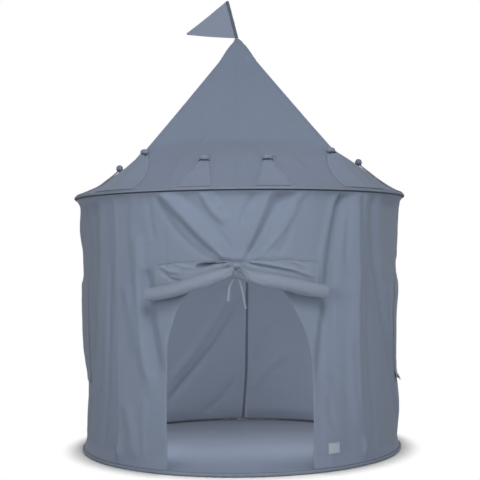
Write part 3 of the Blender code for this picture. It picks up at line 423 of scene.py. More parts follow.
def wall_relief(angle, z):
    """How far the hanging wall stands out from its plain surface."""
    size = sizes()
    turn = turned(angle)
    across = np.radians(turn) * wall_mid_radius
    around = np.radians(angle % 360.0) * wall_mid_radius
    to_pole = np.minimum(abs(abs(turn) - 45.0), abs(abs(turn) - 135.0))
    from_pole = np.radians(to_pole) * wall_mid_radius
    pole = size.pole_corner * np.exp(-from_pole / 0.028)
    foot = 0.0080 * np.exp(-(from_pole / 0.0080) ** 2) * smooth((0.100 - z) / 0.05)
    sag = -0.0035 * (1.0 - (np.clip(to_pole, 0.0, 45.0) / 45.0 - 1.0) ** 2)
    bulge = sum(mound(turn, z, *row) for row in bulges)
    lip = sum(mound(across, z, *row) for row in lips)
    main = fold_depth(across, z, front_folds + side_folds, wall_mid_radius) \
        + fold_depth(around, z, back_folds, wall_mid_radius)
    clear = np.clip(1.0 - np.exp(-(from_pole / 0.012) ** 2), 0.0, 1.0)
    main = np.where(main < 0.0, main * clear, main)
    waves = size.swell * (noise(across / 0.085 + 9.0, z / 0.46, 3)
                          + 0.35 * noise(across / 0.050, z / 0.22, 5))
    waves *= np.where(abs(turn) < 24.0, 0.30 + 0.70 * smooth((0.50 - z) / 0.1), 1.0)
    fine = -size.crease * np.abs(noise(across / 0.034 + z / 0.07, z / 0.040, 11)) \
        + 0.5 * size.crease * noise(across / 0.030, z / 0.030, 13)
    near_top, near_foot = np.exp(-(wall_top - z) / 0.018), np.exp(-(z - wall_bottom) / 0.020)
    puckers = size.pucker * noise(across / 0.013, z / 0.06, 17) * near_top \
        + 0.8 * size.pucker * noise(across / 0.015, z / 0.06, 19) * near_foot
    held = smooth(np.minimum((z - wall_bottom) / 0.034, (wall_top - z) / 0.016))
    seam = smooth((180.0 - abs(turn)) / 4.0)
    return (pole + foot + sag + bulge + (main + lip) * size.fold_share + (waves + fine) * seam) * held \
        + puckers * seam * smooth((z - wall_bottom) / 0.008) * smooth((wall_top - z) / 0.005)


def wall_radius(angle, z, folded=True):
    plain = softened(z, wall_heights, wall_radii, 0.016)
    return plain + (wall_relief(angle, z) if folded else 0.0)


def lifted(place, angle, z, lift):
    """A point over a surface, moved along the surface's own normal."""
    here = place(angle, z)
    if np.all(lift == 0.0):
        return here
    beside = place(angle + 0.15, z) - place(angle - 0.15, z)
    above = place(angle, z + 0.0012) - place(angle, z - 0.0012)
    return here + unit(np.cross(beside, above)) * np.asarray(lift + 0.0 * angle)[..., None]


def wall_place(angle, z, lift=0.0, folded=True):
    return lifted(lambda a, h: radial(wall_radius(a, h, folded), a, h), angle, z, lift)


def ridge_radius(z):
    return np.interp(z - roof_bottom, ridge_heights, ridge_radii)


def ridge_run(z):
    """How far up the ridge a height lies, from the eave."""
    return np.hypot(ridge_radius(roof_bottom) - ridge_radius(z), z - roof_bottom)


def roof_radius(angle, z, folded=True):
    """Round at the eave and square above, with its creases."""
    turn = (angle + 45.0) % 90.0 - 45.0
    square = math.cos(math.radians(45.0)) / np.cos(np.radians(turn))
    rise = z - roof_bottom
    form = softened(rise / ridge_rise, square_heights, square_forms, 0.022)
    radius = ridge_radius(z) * (1.0 - form * (1.0 - square))
    if not folded:
        return radius
    size = sizes()
    full = turned(angle)
    across, side = np.radians(full) * roof_mid_radius, np.radians(turn) * roof_mid_radius
    held = smooth(rise / 0.014) * smooth((mouth_rise - rise) / 0.05)
    edge = smooth((45.0 - abs(turn)) / 5.0)
    main = fold_depth(across, z, roof_folds, roof_mid_radius)
    panel = smooth((45.0 - abs(turn)) / 25.0) * smooth(rise / 0.03) * smooth((0.20 - rise) / 0.07)
    slack = np.where(full < 0.0, -0.0080, 0.0070) * (abs(abs(full) - 90.0) < 45.0) * panel
    hollow = -0.0025 * np.sin(np.clip(rise / ridge_rise, 0.0, 1.0) * math.pi)
    high = smooth((mouth_rise - rise) / 0.26)
    waves = 0.0030 * noise(across / 0.13 + 3.0, z / 0.13, 23) * high \
        + 0.0014 * noise(across / 0.06, z / 0.07, 29) * high
    fine = -size.crease * np.abs(noise(across / 0.040 + z / 0.05, z / 0.036, 31)) * high
    puckers = size.pucker * noise(across / 0.016, z / 0.07, 37) * np.exp(-rise / 0.024)
    strained = 0.0004 * noise(side / 0.020, z / 0.30, 41) * smooth((rise - 0.36) / 0.10)
    return radius + (main * size.fold_share + (waves + fine + strained) * edge + slack + hollow) * held \
        + puckers * smooth(rise / 0.006)


def roof_place(angle, z, lift=0.0, folded=True):
    return lifted(lambda a, h: radial(roof_radius(a, h, folded), a, h), angle, z, lift)


# Meshes

def grid(columns, rows, wrap=False):
    """Shares across and up for a grid's points, and its faces, wound to face outwards."""
    wide = columns if wrap else columns + 1
    across, up = np.meshgrid(np.arange(wide) / columns, np.arange(rows + 1) / rows)
    c, r = np.meshgrid(np.arange(columns), np.arange(rows))
    near, far = (r * wide + c).ravel(), (r * wide + (c + 1) % wide).ravel()
    faces = joined(near, far, far + wide, near + wide)
    return across.ravel(), up.ravel(), faces


def face_normals(points, faces):
    """Each face's normal, twice as long as the face is large."""
    return np.cross(points[faces[:, 2]] - points[faces[:, 0]], points[faces[:, 3]] - points[faces[:, 1]])


def flat_area(points, faces):
    return float(np.linalg.norm(face_normals(points, faces), axis=1).sum() / 2.0)


def point_normals(points, faces):
    normals = np.zeros_like(points)
    for k in range(4):
        np.add.at(normals, faces[:, k], face_normals(points, faces))
    return normals / np.maximum(np.linalg.norm(normals, axis=1, keepdims=True), 1e-12)


def mesh_piece(name, points, faces, uv, material, sharp=55.0):
    """A smooth-shaded object with a UV map in metres for its weave."""
    mesh = bpy.data.meshes.new(name)
    mesh.from_pydata([tuple(p) for p in points.tolist()], [], [tuple(f) for f in faces])
    layer = mesh.uv_layers.new(name="UVMap")
    corner = np.zeros(len(mesh.loops), np.int32)
    mesh.loops.foreach_get("vertex_index", corner)
    layer.data.foreach_set("uv", np.asarray(uv, np.float32)[corner].ravel())
    mesh.materials.append(material)
    mesh.shade_smooth()
    mesh.set_sharp_from_angle(angle=math.radians(sharp))
    mesh.validate()
    obj = bpy.data.objects.new(name, mesh)
    bpy.context.scene.collection.objects.link(obj)
    return obj


def rim_edges(faces):
    """Directed edges of the faces that no other face shares."""
    count = faces.shape[1]
    edges = np.concatenate([faces[:, [k, (k + 1) % count]] for k in range(count)])
    most = int(faces.max()) + 1
    start, end = edges[:, 0].astype(np.int64), edges[:, 1].astype(np.int64)
    return edges[~np.isin(start * most + end, end * most + start)]


def shell(name, points, faces, uv, thickness, material, sharp=55.0, inner=None):
    """A closed sheet: the outer faces, the same faces inside, and the rim between."""
    points = np.asarray(points, float)
    if inner is None:
        inner = points - point_normals(points, faces) * np.asarray(thickness).reshape(-1, 1)
    count = len(points)
    rim = rim_edges(faces)
    first, last = rim.T
    sides = joined(last, first, first + count, last + count)
    every = np.concatenate([faces, faces[:, ::-1] + count, sides]).tolist()
    return mesh_piece(name, np.concatenate([points, inner]), every, np.concatenate([uv, uv]), material, sharp)


def inside(places, outline):
    """Which places lie inside a closed outline."""
    x, y = places[:, 0], places[:, 1]
    result = np.zeros(len(places), bool)
    for (x0, y0), (x1, y1) in zip(outline, np.roll(outline, -1, axis=0)):
        crosses = (y0 > y) != (y1 > y)
        if y1 != y0:
            result ^= crosses & (x < (x1 - x0) * (y - y0) / (y1 - y0) + x0)
    return result


def cut_hole(places, faces, outline, limits):
    """Leave out the faces inside an outline, and draw the hole's edge onto it."""
    middles = places[faces].mean(axis=1)
    kept = faces[~inside(middles, outline)]
    free = np.unique(rim_edges(kept))
    on_limits = np.zeros(len(places), bool)
    for axis, low, high in limits:
        on_limits |= (np.abs(places[:, axis] - low) < 1e-9) | (np.abs(places[:, axis] - high) < 1e-9)
    edge = free[~on_limits[free]]
    held = free[on_limits[free]]
    places = places.copy()
    starts, ends = outline, np.roll(outline, -1, axis=0)
    runs = ends - starts
    lengths = (runs ** 2).sum(axis=1)
    for i in np.concatenate([edge, held]):
        share = np.clip(((places[i] - starts) * runs).sum(axis=1) / lengths, 0.0, 1.0)
        there = starts + runs * share[:, None]
        away = np.linalg.norm(there - places[i], axis=1)
        best = int(away.argmin())
        if not on_limits[i]:
            places[i] = there[best]
        elif away[best] < 0.004:
            places[i, 0] = there[best, 0]
    used, kept = np.unique(kept, return_inverse=True)
    return places[used], kept.reshape(-1, 4)


def stitches(name, points, normals, material, width=0.0007, height=0.0005, share=0.68):
    """A row of separate stitches along points that lie a stitch apart."""
    points = np.asarray(points, float)
    keep = np.linalg.norm(np.diff(points, axis=0), axis=1) > 1e-6
    starts, ends, up = points[:-1][keep], points[1:][keep], np.asarray(normals, float)[:-1][keep]
    middle, half = (starts + ends) / 2.0, (ends - starts) * share / 2.0
    side = unit(np.cross(half, up)) * width / 2.0
    ring = joined(middle - half, middle + side, middle + up * height, middle - side,
                  middle - up * height * 0.4, middle + half)
    tris = np.array([(0, 2, 1), (0, 3, 2), (0, 4, 3), (0, 1, 4), (5, 1, 2), (5, 2, 3), (5, 3, 4), (5, 4, 1)])
    faces = (np.arange(len(middle))[:, None, None] * 6 + tris).reshape(-1, 3)
    points = ring.reshape(-1, 3)
    return mesh_piece(name, points, faces.tolist(), np.zeros((len(points), 2)), material, 80.0)


def along(points, step):
    """Points a step apart along a line of points."""
    gone = gone_along(points)
    at = np.linspace(0.0, gone[-1], max(2, int(round(gone[-1] / step)) + 1))
    return joined(*(np.interp(at, gone, values) for values in points.T))


def wall_stitches(name, angle, z, lift, material, **more):
    """A row of stitches over the wall, one from each place to the next."""
    low, high = wall_place(angle, z, lift), wall_place(angle, z, lift + 0.001)
    return stitches(name, low, (high - low) / 0.001, material, **more)


def sewn_row(name, route, lift):
    """A row of stitches over the wall, along a route of (angle, height)."""
    spaced = along(np.asarray(route, float) * metre_scale, sizes().stitch_length * 1.35) / metre_scale
    return wall_stitches(name, spaced[:, 0], spaced[:, 1], lift, finish("thread"))


def ways_along(line, closed):
    """The direction of a line at each of its points."""
    return np.roll(line, -1, axis=0) - np.roll(line, 1, axis=0) if closed else np.gradient(line, axis=0)


def ribbon_piece(name, line, across, width, thickness, closed=True, bow=0.0):
    """A ribbon along a line, with its own direction across at each point."""
    columns = 4
    rows = len(line) if closed else len(line) - 1
    width = np.broadcast_to(np.asarray(width, float), (len(line),))
    out = unit(np.cross(across, ways_along(line, closed)))
    share = np.linspace(-0.5, 0.5, columns + 1)
    points = line[:, None, :] + across[:, None, :] * (share[None, :] * width[:, None])[..., None] \
        + out[:, None, :] * (bow * (1.0 - 4.0 * share ** 2))[None, :, None]
    wide = columns + 1
    c, r = np.meshgrid(np.arange(columns), np.arange(rows))
    near, far = (r * wide + c).ravel(), ((r + 1) % len(line) * wide + c).ravel()
    faces = joined(near, near + 1, far + 1, far)
    uv = joined(np.tile(share * 0.008, len(line)), np.repeat(gone_along(line), wide))
    return shell(name, points.reshape(-1, 3), faces, uv, thickness, finish("ribbon"))


# Materials

class Wire:
    """A shader socket that takes part in sums."""

    def __init__(self, tree, socket):
        self.tree, self.socket = tree, socket

    def __add__(self, other):
        return self.tree.maths("ADD", self, other)

    def __radd__(self, other):
        return self.tree.maths("ADD", other, self)

    def __sub__(self, other):
        return self.tree.maths("SUBTRACT", self, other)

    def __rsub__(self, other):
        return self.tree.maths("SUBTRACT", other, self)

    def __mul__(self, other):
        return self.tree.maths("MULTIPLY", self, other)

    def __rmul__(self, other):
        return self.tree.maths("MULTIPLY", other, self)


class Finish:
    """The node tree of a new material or of a world."""

    def __init__(self, owner):
        self.owner = owner
        owner.use_nodes = True
        owner.node_tree.nodes.clear()

    def node(self, kind, values=None, output=0, **settings):
        """One output of any node: its type, the values or wires of its sockets, and its settings."""
        made = self.owner.node_tree.nodes.new("ShaderNode" + kind)
        for key, value in settings.items():
            setattr(made, key, value)
        for key, value in (values or {}).items():
            if isinstance(value, Wire):
                self.owner.node_tree.links.new(value.socket, made.inputs[key])
            else:
                made.inputs[key].default_value = value
        return Wire(self, made.outputs[output]) if made.outputs else None

    def maths(self, operation, *values):
        return self.node("Math", dict(enumerate(values)), operation=operation)

    def sine(self, value):
        return self.maths("SINE", value)

    def place(self):
        return self.node("TexCoord", output="Object")

    def uv(self):
        """The UV map, in metres."""
        return self.node("UVMap", uv_map="UVMap")

    def parts(self, vector):
        """The first two parts of a vector."""
        return [self.node("SeparateXYZ", {0: vector}, k) for k in (0, 1)]

    def noise(self, vector, scale, detail=2.0, roughness=0.5):
        values = {"Vector": vector, "Scale": scale, "Detail": detail, "Roughness": roughness}
        return self.node("TexNoise", values, "Fac", noise_dimensions="3D")

    def scaled(self, vector, factors):
        return self.node("VectorMath", {0: vector, 1: factors}, operation="MULTIPLY")

    def mixed(self, share, first, second):
        first, second = ((*c, 1.0) if isinstance(c, tuple) else c for c in (first, second))
        return self.node("Mix", {0: share, 6: first, 7: second}, 2, data_type="RGBA", clamp_factor=True)

    def shades(self, share, colour, low, high):
        """A colour from a darker to a paler shade of itself."""
        return self.mixed(share, shade(colour, low), shade(colour, high))

    def bumps(self, strength, distance, height):
        return self.node("Bump", {"Strength": strength, "Distance": distance, "Height": height})

    def close(self, shader):
        self.node("OutputMaterial", {"Surface": shader})
        return self.owner

    def coat(self, base, roughness, **values):
        """The plain shader over the whole piece; an underscore in a socket's name stands for a blank."""
        values = {key.replace("_", " "): value for key, value in values.items()}
        return self.close(self.node("BsdfPrincipled", {"Base Color": base, "Roughness": roughness, **values}))


def new_finish(name):
    return Finish(bpy.data.materials.new(name))


def shade(colour, factor):
    return tuple(min(1.0, c * factor) for c in colour)


def cloth_finish(name, colour, roughness=0.9, mottle=0.06):
    """Plain-woven cotton: crossing threads, uneven yarn, soft mottling and fine creases."""
    f = new_finish(name)
    pitch = sizes().weave_pitch
    uv, place = f.uv(), f.place()
    u, v = f.parts(uv)
    over = f.sine(u * (math.pi / pitch)) * f.sine(v * (math.pi / pitch))
    yarn = f.noise(f.scaled(uv, (1.0 / pitch, 14.0, 0.0)), 1.0, 1.0) \
        + f.noise(f.scaled(uv, (14.0, 1.0 / pitch, 5.0)), 1.0, 1.0) - 1.0
    cloud = f.noise(place, 5.0, 3.0) - 0.5
    dust = f.noise(place, 38.0) - 0.5
    share = over * 0.10 + yarn * 0.40 + cloud * (mottle * 12.0) + dust * (mottle * 4.0) + 0.5
    height = over * 0.35 + yarn * 0.30 + f.noise(place, 55.0, 3.0, 0.6) * 1.6
    return f.coat(f.shades(share, colour, 0.93, 1.07), cloud * 0.10 + roughness,
                  Normal=f.bumps(0.30, 0.0010, height), Sheen_Weight=0.12, Sheen_Roughness=0.55,
                  Specular_IOR_Level=0.22)


def tape_finish(name, colour, pitch=0.0009, roughness=0.85, band=None, inner=1.0):
    """Twill tape: fine slanting ribs, with painted shade: a dark band between two places across it, and a
    darker side beyond the inner place.
    """
    f = new_finish(name)
    u, v = f.parts(f.uv())
    rib = f.sine((u + v) * (math.pi / pitch))
    cloud = f.noise(f.place(), 26.0, 3.0) - 0.5
    base = f.shades(rib * 0.25 + cloud * 0.9 + 0.5, colour, 0.90, 1.10)
    if band:
        # Painted shade: on the casings this band lies along the underside and stands for the shade under it
        away = f.maths("ABSOLUTE", v + cloud * 0.0008 - sum(band) / 2.0)
        base = f.mixed(f.maths("LESS_THAN", away, (band[1] - band[0]) / 2.0), base, tuple(colours().casing_shade))
        # Painted shade: beyond the inner place the tape is darkened; on the hem casing that is its upper
        # inner side, painted darker than the lamp inside lights it
        base = f.mixed(f.maths("GREATER_THAN", v, inner), base, shade(colour, 0.55))
    return f.coat(base, cloud * 0.12 + roughness, Normal=f.bumps(0.35, 0.0006, rib + cloud * 1.5),
                  Sheen_Weight=0.08, Sheen_Roughness=0.5, Specular_IOR_Level=0.25)


def net_finish(name, colour):
    """Open net: threads both ways with holes between."""
    f = new_finish(name)
    strands = [f.maths("ABSOLUTE", f.sine(part * (math.pi / net_pitch))) for part in f.parts(f.uv())]
    hole = f.maths("GREATER_THAN", f.maths("MINIMUM", *strands), net_thread)
    cloud = f.noise(f.place(), 30.0) - 0.5
    return f.coat(f.shades(cloud + 0.5, colour, 0.85, 1.15), cloud * 0.1 + 0.8, Alpha=1.0 - hole)


def moulded_finish(name, colour, roughness=0.5):
    """Moulded plastic with a fine grain and slightly paler, rubbed patches."""
    f = new_finish(name)
    place = f.place()
    cloud = f.noise(place, 24.0, 3.0) - 0.5
    return f.coat(f.shades(cloud * 1.2 + 0.5, colour, 0.88, 1.16), cloud * 0.16 + roughness,
                  Normal=f.bumps(0.18, 0.0004, f.noise(place, 1040.0)))


def drawn_finish(name, colour, metallic, roughness):
    """Drawn rod: faint lines along its length."""
    f = new_finish(name)
    place = f.place()
    lines = f.noise(f.scaled(place, (900.0, 900.0, 6.0)), 1.0) - 0.5
    cloud = f.noise(place, 12.0) - 0.5
    return f.coat(f.shades(lines * 0.8 + cloud * 0.8 + 0.5, colour, 0.90, 1.08),
                  cloud * 0.15 + lines * 0.1 + roughness, Metallic=metallic,
                  Normal=f.bumps(0.12, 0.0003, lines))


# Each finish: its maker, its name, and what the maker takes after the colour
makers = {
    "wall": (cloth_finish, "wall cotton"),
    "roof": (cloth_finish, "roof cotton"),
    "crown": (cloth_finish, "crown cotton"),
    "curtain": (cloth_finish, "curtain cotton", 0.86),
    "floor": (cloth_finish, "floor cotton", 0.92, 0.08),
    "flag": (cloth_finish, "flag cotton"),
    "flag_band": (cloth_finish, "flag sleeve cotton"),
    # The casings' bands are painted shade along their undersides
    "eave_casing": (tape_finish, "eave casing tape", 0.0009, 0.85, (0.0050, 0.0122)),
    # The hem casing's last number is where its painted-shade inner side begins
    "hem_casing": (tape_finish, "hem casing tape", 0.0009, 0.85, (0.0045, 0.0090), 0.0200),
    "hem": (tape_finish, "hem binding"),
    "seam": (tape_finish, "back seam binding"),
    "ribbon": (tape_finish, "tie ribbon", 0.0007, 0.8),
    "label": (tape_finish, "bare label", 0.0006, 0.75),
    "thread": (moulded_finish, "sewing thread", 0.75),
    # Painted shade: near-black thread for the shade under the crown's tips and along the curtain's seam
    "shade_thread": (moulded_finish, "tying thread", 0.8),
    "fitting": (moulded_finish, "moulded fitting"),
    "net": (net_finish, "window net"),
    "pole": (drawn_finish, "glass fibre", 0.0, 0.42),
    "steel": (drawn_finish, "sprung steel", 0.9, 0.32),
}
finishes = {}


def finish(key):
    """Each material is made once, when the first piece asks for it."""
    if key not in finishes:
        maker, name, *extra = makers[key]
        tint = getattr(colours(), "casing" if key.endswith("_casing") else key)
        finishes[key] = maker(name, tuple(tint), *extra)
    return finishes[key]


def dress(obj, body, slot, *nodes):
    """Put a piece on its body and hide the plain solids that it stands for; the slot is not used."""
    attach(obj, body)
    if nodes:
        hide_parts(*nodes)
    return obj


def wall_uv(angle, z):
    return joined(np.radians(angle) * wall_mid_radius, z)


class TentOperator(bpy.types.Operator):
    """Shared settings of the tent's operators."""
    bl_options = {"REGISTER", "UNDO"}


class PLAYTENT_OT_stage(TentOperator):
    """Camera, lamps, even light and floor"""
    bl_idname = "playtent.stage"
    bl_label = "Stage"

    def execute(self, context):
        scene, stage = context.scene, context.scene.tent_stage
        scene.view_settings.view_transform = "Standard"
        data = bpy.data.cameras.new("camera")
        data.sensor_width, data.lens = 36.0, stage.lens
        data.shift_y = stage.shift
        camera = bpy.data.objects.new("camera", data)
        camera.matrix_world = Matrix.Translation((0.0, -stage.eye_distance, stage.eye_height)) \
            @ Matrix.Rotation(math.radians(90.0), 4, "X") @ Matrix.Rotation(stage.roll, 4, "Z")
        scene.collection.objects.link(camera)
        scene.camera = camera

        # Lamps: name, power, width, place, and the point aimed at
        lamps = (("key", stage.key, 0.60, (-0.80, -2.00, 0.90), (0.0, -0.30, 0.62)),
                 ("front", stage.front, 0.9, (0.20, -2.30, 2.20), (0.0, 0.0, 0.70)),
                 ("fill", stage.fill, 1.6, (2.30, -1.80, 1.20), (0.0, 0.0, 0.62)),
                 ("back_right", stage.back, 1.6, (1.70, 2.70, 1.30), (0.0, 0.0, 0.62)),
                 ("back_left", stage.back, 1.6, (-1.70, 2.70, 1.30), (0.0, 0.0, 0.62)),
                 ("inner", stage.inner * 0.44, 0.22, (-0.04, -0.22, 0.81), (-0.06, 0.05, 0.00)),
                 ("inner_right", stage.inner * 0.18, 0.14, (0.34, -0.20, 0.25), (0.00, 0.45, 0.10)),
                 ("inner_left", stage.inner * 0.18, 0.14, (-0.34, -0.20, 0.25), (0.00, 0.45, 0.10)))
        for name, watts, width, place, aim in lamps:
            lamp = bpy.data.lights.new(name, "AREA")
            lamp.energy, lamp.shape, lamp.size = watts, "SQUARE", width
            lamp.color = (1.0, 0.95, 0.88) if name.startswith("inner") else (1.0, 1.0, 1.0)
            obj = bpy.data.objects.new(name, lamp)
            obj.visible_camera = False
            way = Vector(aim) - Vector(place)
            obj.matrix_world = Matrix.Translation(place) @ way.to_track_quat("-Z", "Y").to_matrix().to_4x4()
            scene.collection.objects.link(obj)

        def seen(tree):
            """1 for rays from the camera and from glossy or clear surfaces."""
            shown = tree.node("LightPath", output="Is Camera Ray")
            for kind in ("Is Glossy Ray", "Is Transmission Ray"):
                shown = tree.maths("MAXIMUM", shown, tree.node("LightPath", output=kind))
            return shown

        # The world lights evenly and looks white; the floor turns from matte to white away from the tent
        white = (1.0, 1.0, 1.0, 1.0)
        scene.world = bpy.data.worlds.new("even light")
        even = Finish(scene.world)
        strength = even.node("MapRange", {"Value": seen(even), "To Min": stage.sky, "To Max": 1.0})
        even.node("OutputWorld", {"Surface": even.node("Background", {"Color": white, "Strength": strength})})

        f = new_finish("studio floor")
        from_centre = f.node("VectorMath", {0: f.place()}, "Value", operation="LENGTH")
        far = f.node("MapRange", {"Value": from_centre, "From Min": matte_radius, "From Max": white_radius},
                     interpolation_type="SMOOTHSTEP")
        matte = f.node("BsdfPrincipled", {"Base Color": (*stage.floor, 1.0), "Roughness": 0.9,
                                          "Specular IOR Level": 0.1})
        bright = f.node("Emission", {"Color": white, "Strength": 1.0})
        material = f.close(f.node("MixShader", {0: far * seen(f), 1: matte, 2: bright}))
        across, up, faces = grid(24, 24)
        points = joined((across - 0.5) * studio_width, (up - 0.5) * studio_width, np.full_like(up, -0.0004))
        floor = mesh_piece("studio_floor", points, faces.tolist(), points[:, :2], material)
        return {"FINISHED"}


def arch_route(margin=0.0, low=wall_bottom, gathered=True):
    """The doorway's edge as (angle, height), from the left foot round to the right one."""
    t = np.linspace(0.0, 1.0, 160) ** 0.8
    top = door_top + margin
    wide = (door_leg_widths[-1] + margin) * np.sqrt(np.clip(1.0 - t ** 1.7, 0.0, 1.0))
    z = door_spring + (top - door_spring) * t
    legs = np.linspace(low, door_spring, 50)[:-1]
    leg = softened(legs, door_leg_heights, door_leg_widths, 0.03) if low >= 0.0 \
        else np.interp(legs, door_leg_heights, door_leg_widths)
    wide, z = np.concatenate([leg + margin, wide]), np.concatenate([legs, z])
    middle = softened(np.clip(z, 0.0, 0.6), door_middle_heights, door_middles, 0.03)
    x = np.concatenate([middle - wide, (middle + wide)[-2::-1]])
    z = np.concatenate([z, z[-2::-1]])
    if gathered:
        lift = smooth((x + 0.132) / 0.020) * smooth((-0.012 - x) / 0.010)
        z = z + np.maximum(0.5640 + margin - z, 0.0) * lift * (z > 0.45)
    return joined(np.degrees(np.arcsin(x / wall_mid_radius)), z)


def window_route():
    """The window's edge with its round corners, as (angle from the window's middle, height)."""
    wide = math.radians(window_half_angle) * wall_mid_radius - window_corner
    route = []
    for sx, z, start in ((1, window_high - window_corner, 0.0), (-1, window_high - window_corner, 90.0),
                         (-1, window_low + window_corner, 180.0), (1, window_low + window_corner, 270.0)):
        a = np.radians(np.linspace(start, start + 90.0, 9))
        route.append(joined(sx * wide + window_corner * np.cos(a), z + window_corner * np.sin(a)))
    route = np.concatenate(route)
    return joined(np.degrees(route[:, 0] / wall_mid_radius), route[:, 1])


def binding(name, route, closed=False):
    """A folded strip over the wall's edge, front and back."""
    cloth, width, lift = sizes().cloth, 0.010, 0.0009
    metres = route * metre_scale
    way = unit(ways_along(metres, closed))
    into = joined(-way[:, 1], way[:, 0])
    front = [(1.0, lift), (0.6, lift * 1.15), (0.16, lift * 1.3), (-0.04, lift * 0.8)]
    profile = front + [(-0.09, -cloth / 2.0)] + [(share, -cloth - rise) for share, rise in front[::-1]]
    rows = []
    for share, rise in profile:
        spot = (metres + into * share * width) / metre_scale
        rows.append(wall_place(spot[:, 0], spot[:, 1], rise))
    count = len(route)
    faces = grid(count if closed else count - 1, len(profile) - 1, wrap=closed)[2]
    uv = joined(np.tile(gone_along(metres), len(profile)),
                   np.repeat(np.arange(len(profile)) * width * 0.3, count))
    return shell(name, np.concatenate(rows), faces, uv, 0.0004, finish("hem"), 70.0)


def wall_cloth(name, start, end, step, hole):
    """A hanging wall panel between two angles, with its hole."""
    size = sizes()
    width = math.radians(end - start) * wall_mid_radius
    columns, rows = int(round(width / step)), int(round((wall_top - wall_bottom) / step))
    across, up, faces = grid(columns, rows)
    angle, z = start + (end - start) * across, wall_bottom + (wall_top - wall_bottom) * up
    places, faces = cut_hole(joined(angle, z) * metre_scale, faces, hole * metre_scale,
                             ((0, start * metre_scale[0], end * metre_scale[0]), (1, wall_bottom, wall_top)))
    angle, z = places[:, 0] / metre_scale[0], places[:, 1]
    obj = shell(name, wall_place(angle, z), faces, wall_uv(angle, z), size.cloth, finish("wall"))
    area = flat_area(wall_place(angle, z, folded=False), faces)
    return obj, width, area


class PLAYTENT_OT_walls(TentOperator):
    """Three wall panels, gathered over the door, with their seams and bindings"""
    bl_idname = "playtent.walls"
    bl_label = "Walls"

    def execute(self, context):
        size = context.scene.tent_sizes
        seam = math.degrees(gap / 2.0 / wall_mid_radius)

        hole = arch_route(low=-0.05)
        front, width, area = wall_cloth("wall_cloth_front", -45.0 + seam, 45.0 - seam, size.wall_step, hole)
        dress(front, "tent", "wall_cloth", "wall_front")
        hem = dress(binding("door_hem", arch_route()), "tent", "wall_cloth")
        inner = arch_route(margin=0.0085, gathered=False)
        row = dress(sewn_row("door_stitches", inner, 0.0013), "tent", "wall_cloth")

        for side, sign, start, end in (("right", 1.0, 45.0 + seam, back_seam - seam),
                                       ("left", -1.0, back_seam - 360.0 + seam, -45.0 - seam)):
            window = window_route()
            window[:, 0] += sign * 90.0
            wall, width, area = wall_cloth("wall_cloth_" + side, start, end, size.wall_step * 1.45, window)
            dress(wall, "tent", "wall_cloth", "wall_" + side)
            metric = window * metre_scale
            edge = along(np.concatenate([metric, metric[:1]]), 0.006)[:-1] / metre_scale
            frame_hem = binding("window_hem_" + side, edge[::-1], closed=True)
            dress(frame_hem, "tent", "wall_cloth")

        # Lapped seams over the poles, and the dark binding inside the back seam
        for corner, at in corner_angles.items():
            z = np.linspace(wall_bottom + 0.012, wall_top - 0.004, 130)
            for k, shift in enumerate((-0.5, 0.5)):
                turn = turned(at) + math.degrees(shift * 0.010 / wall_mid_radius)
                row = sewn_row("seam_stitches_%s_%d" % (corner, k + 1),
                               joined(np.full_like(z, turn), z), 0.0001)
                dress(row, "tent", "wall_cloth")
        across, up, faces = grid(6, 120)
        z = binding_heights[0] + (binding_heights[-1] - binding_heights[0]) * up
        angle = softened(z, binding_heights, binding_angles, 0.05) + (across * 2.0 - 1.0) * binding_half_angle
        points = wall_place(angle, z, -size.cloth - 0.0007 - 0.0006 * np.cos((across - 0.5) * math.pi))
        bound = shell("seam_binding_cloth", points, faces[:, ::-1], wall_uv(angle, z), 0.0009, finish("seam"))
        dress(bound, "tent", "seam_cloth", "back_seam_binding")
        return {"FINISHED"}


class PLAYTENT_OT_casings(TentOperator):
    """Tape casings round the eave hoop and the base hoop"""
    bl_idname = "playtent.casings"
    bl_label = "Hoop casings"

    def execute(self, context):
        for name, line, z, node in (("eave_casing_cloth", eave_line, eave_height, "eave_casing"),
                                    ("hem_casing_cloth", base_line, casing_radius, "hem_casing")):
            steps, sides = 300, 18
            across, up, faces = grid(steps, sides, wrap=True)
            around = across * 360.0
            bend = np.radians(-150.0 + 300.0 * up)
            arc = np.radians(around) * line
            pucker = 0.00035 * noise(arc / 0.008, up * 3.0, 43) + 0.0003 * noise(arc / 0.03, up * 2.0, 47)
            pucker *= np.sin(up * math.pi)
            radius = casing_radius + pucker
            height = np.maximum(z + radius * np.sin(bend), 0.0002)
            points = radial(line + radius * np.cos(bend), around, height)
            uv = joined(arc, up * casing_width)
            obj = shell(name, points, faces, uv, 0.0012, finish(node))
            dress(obj, "tent", "casing_cloth", node)
        return {"FINISHED"}


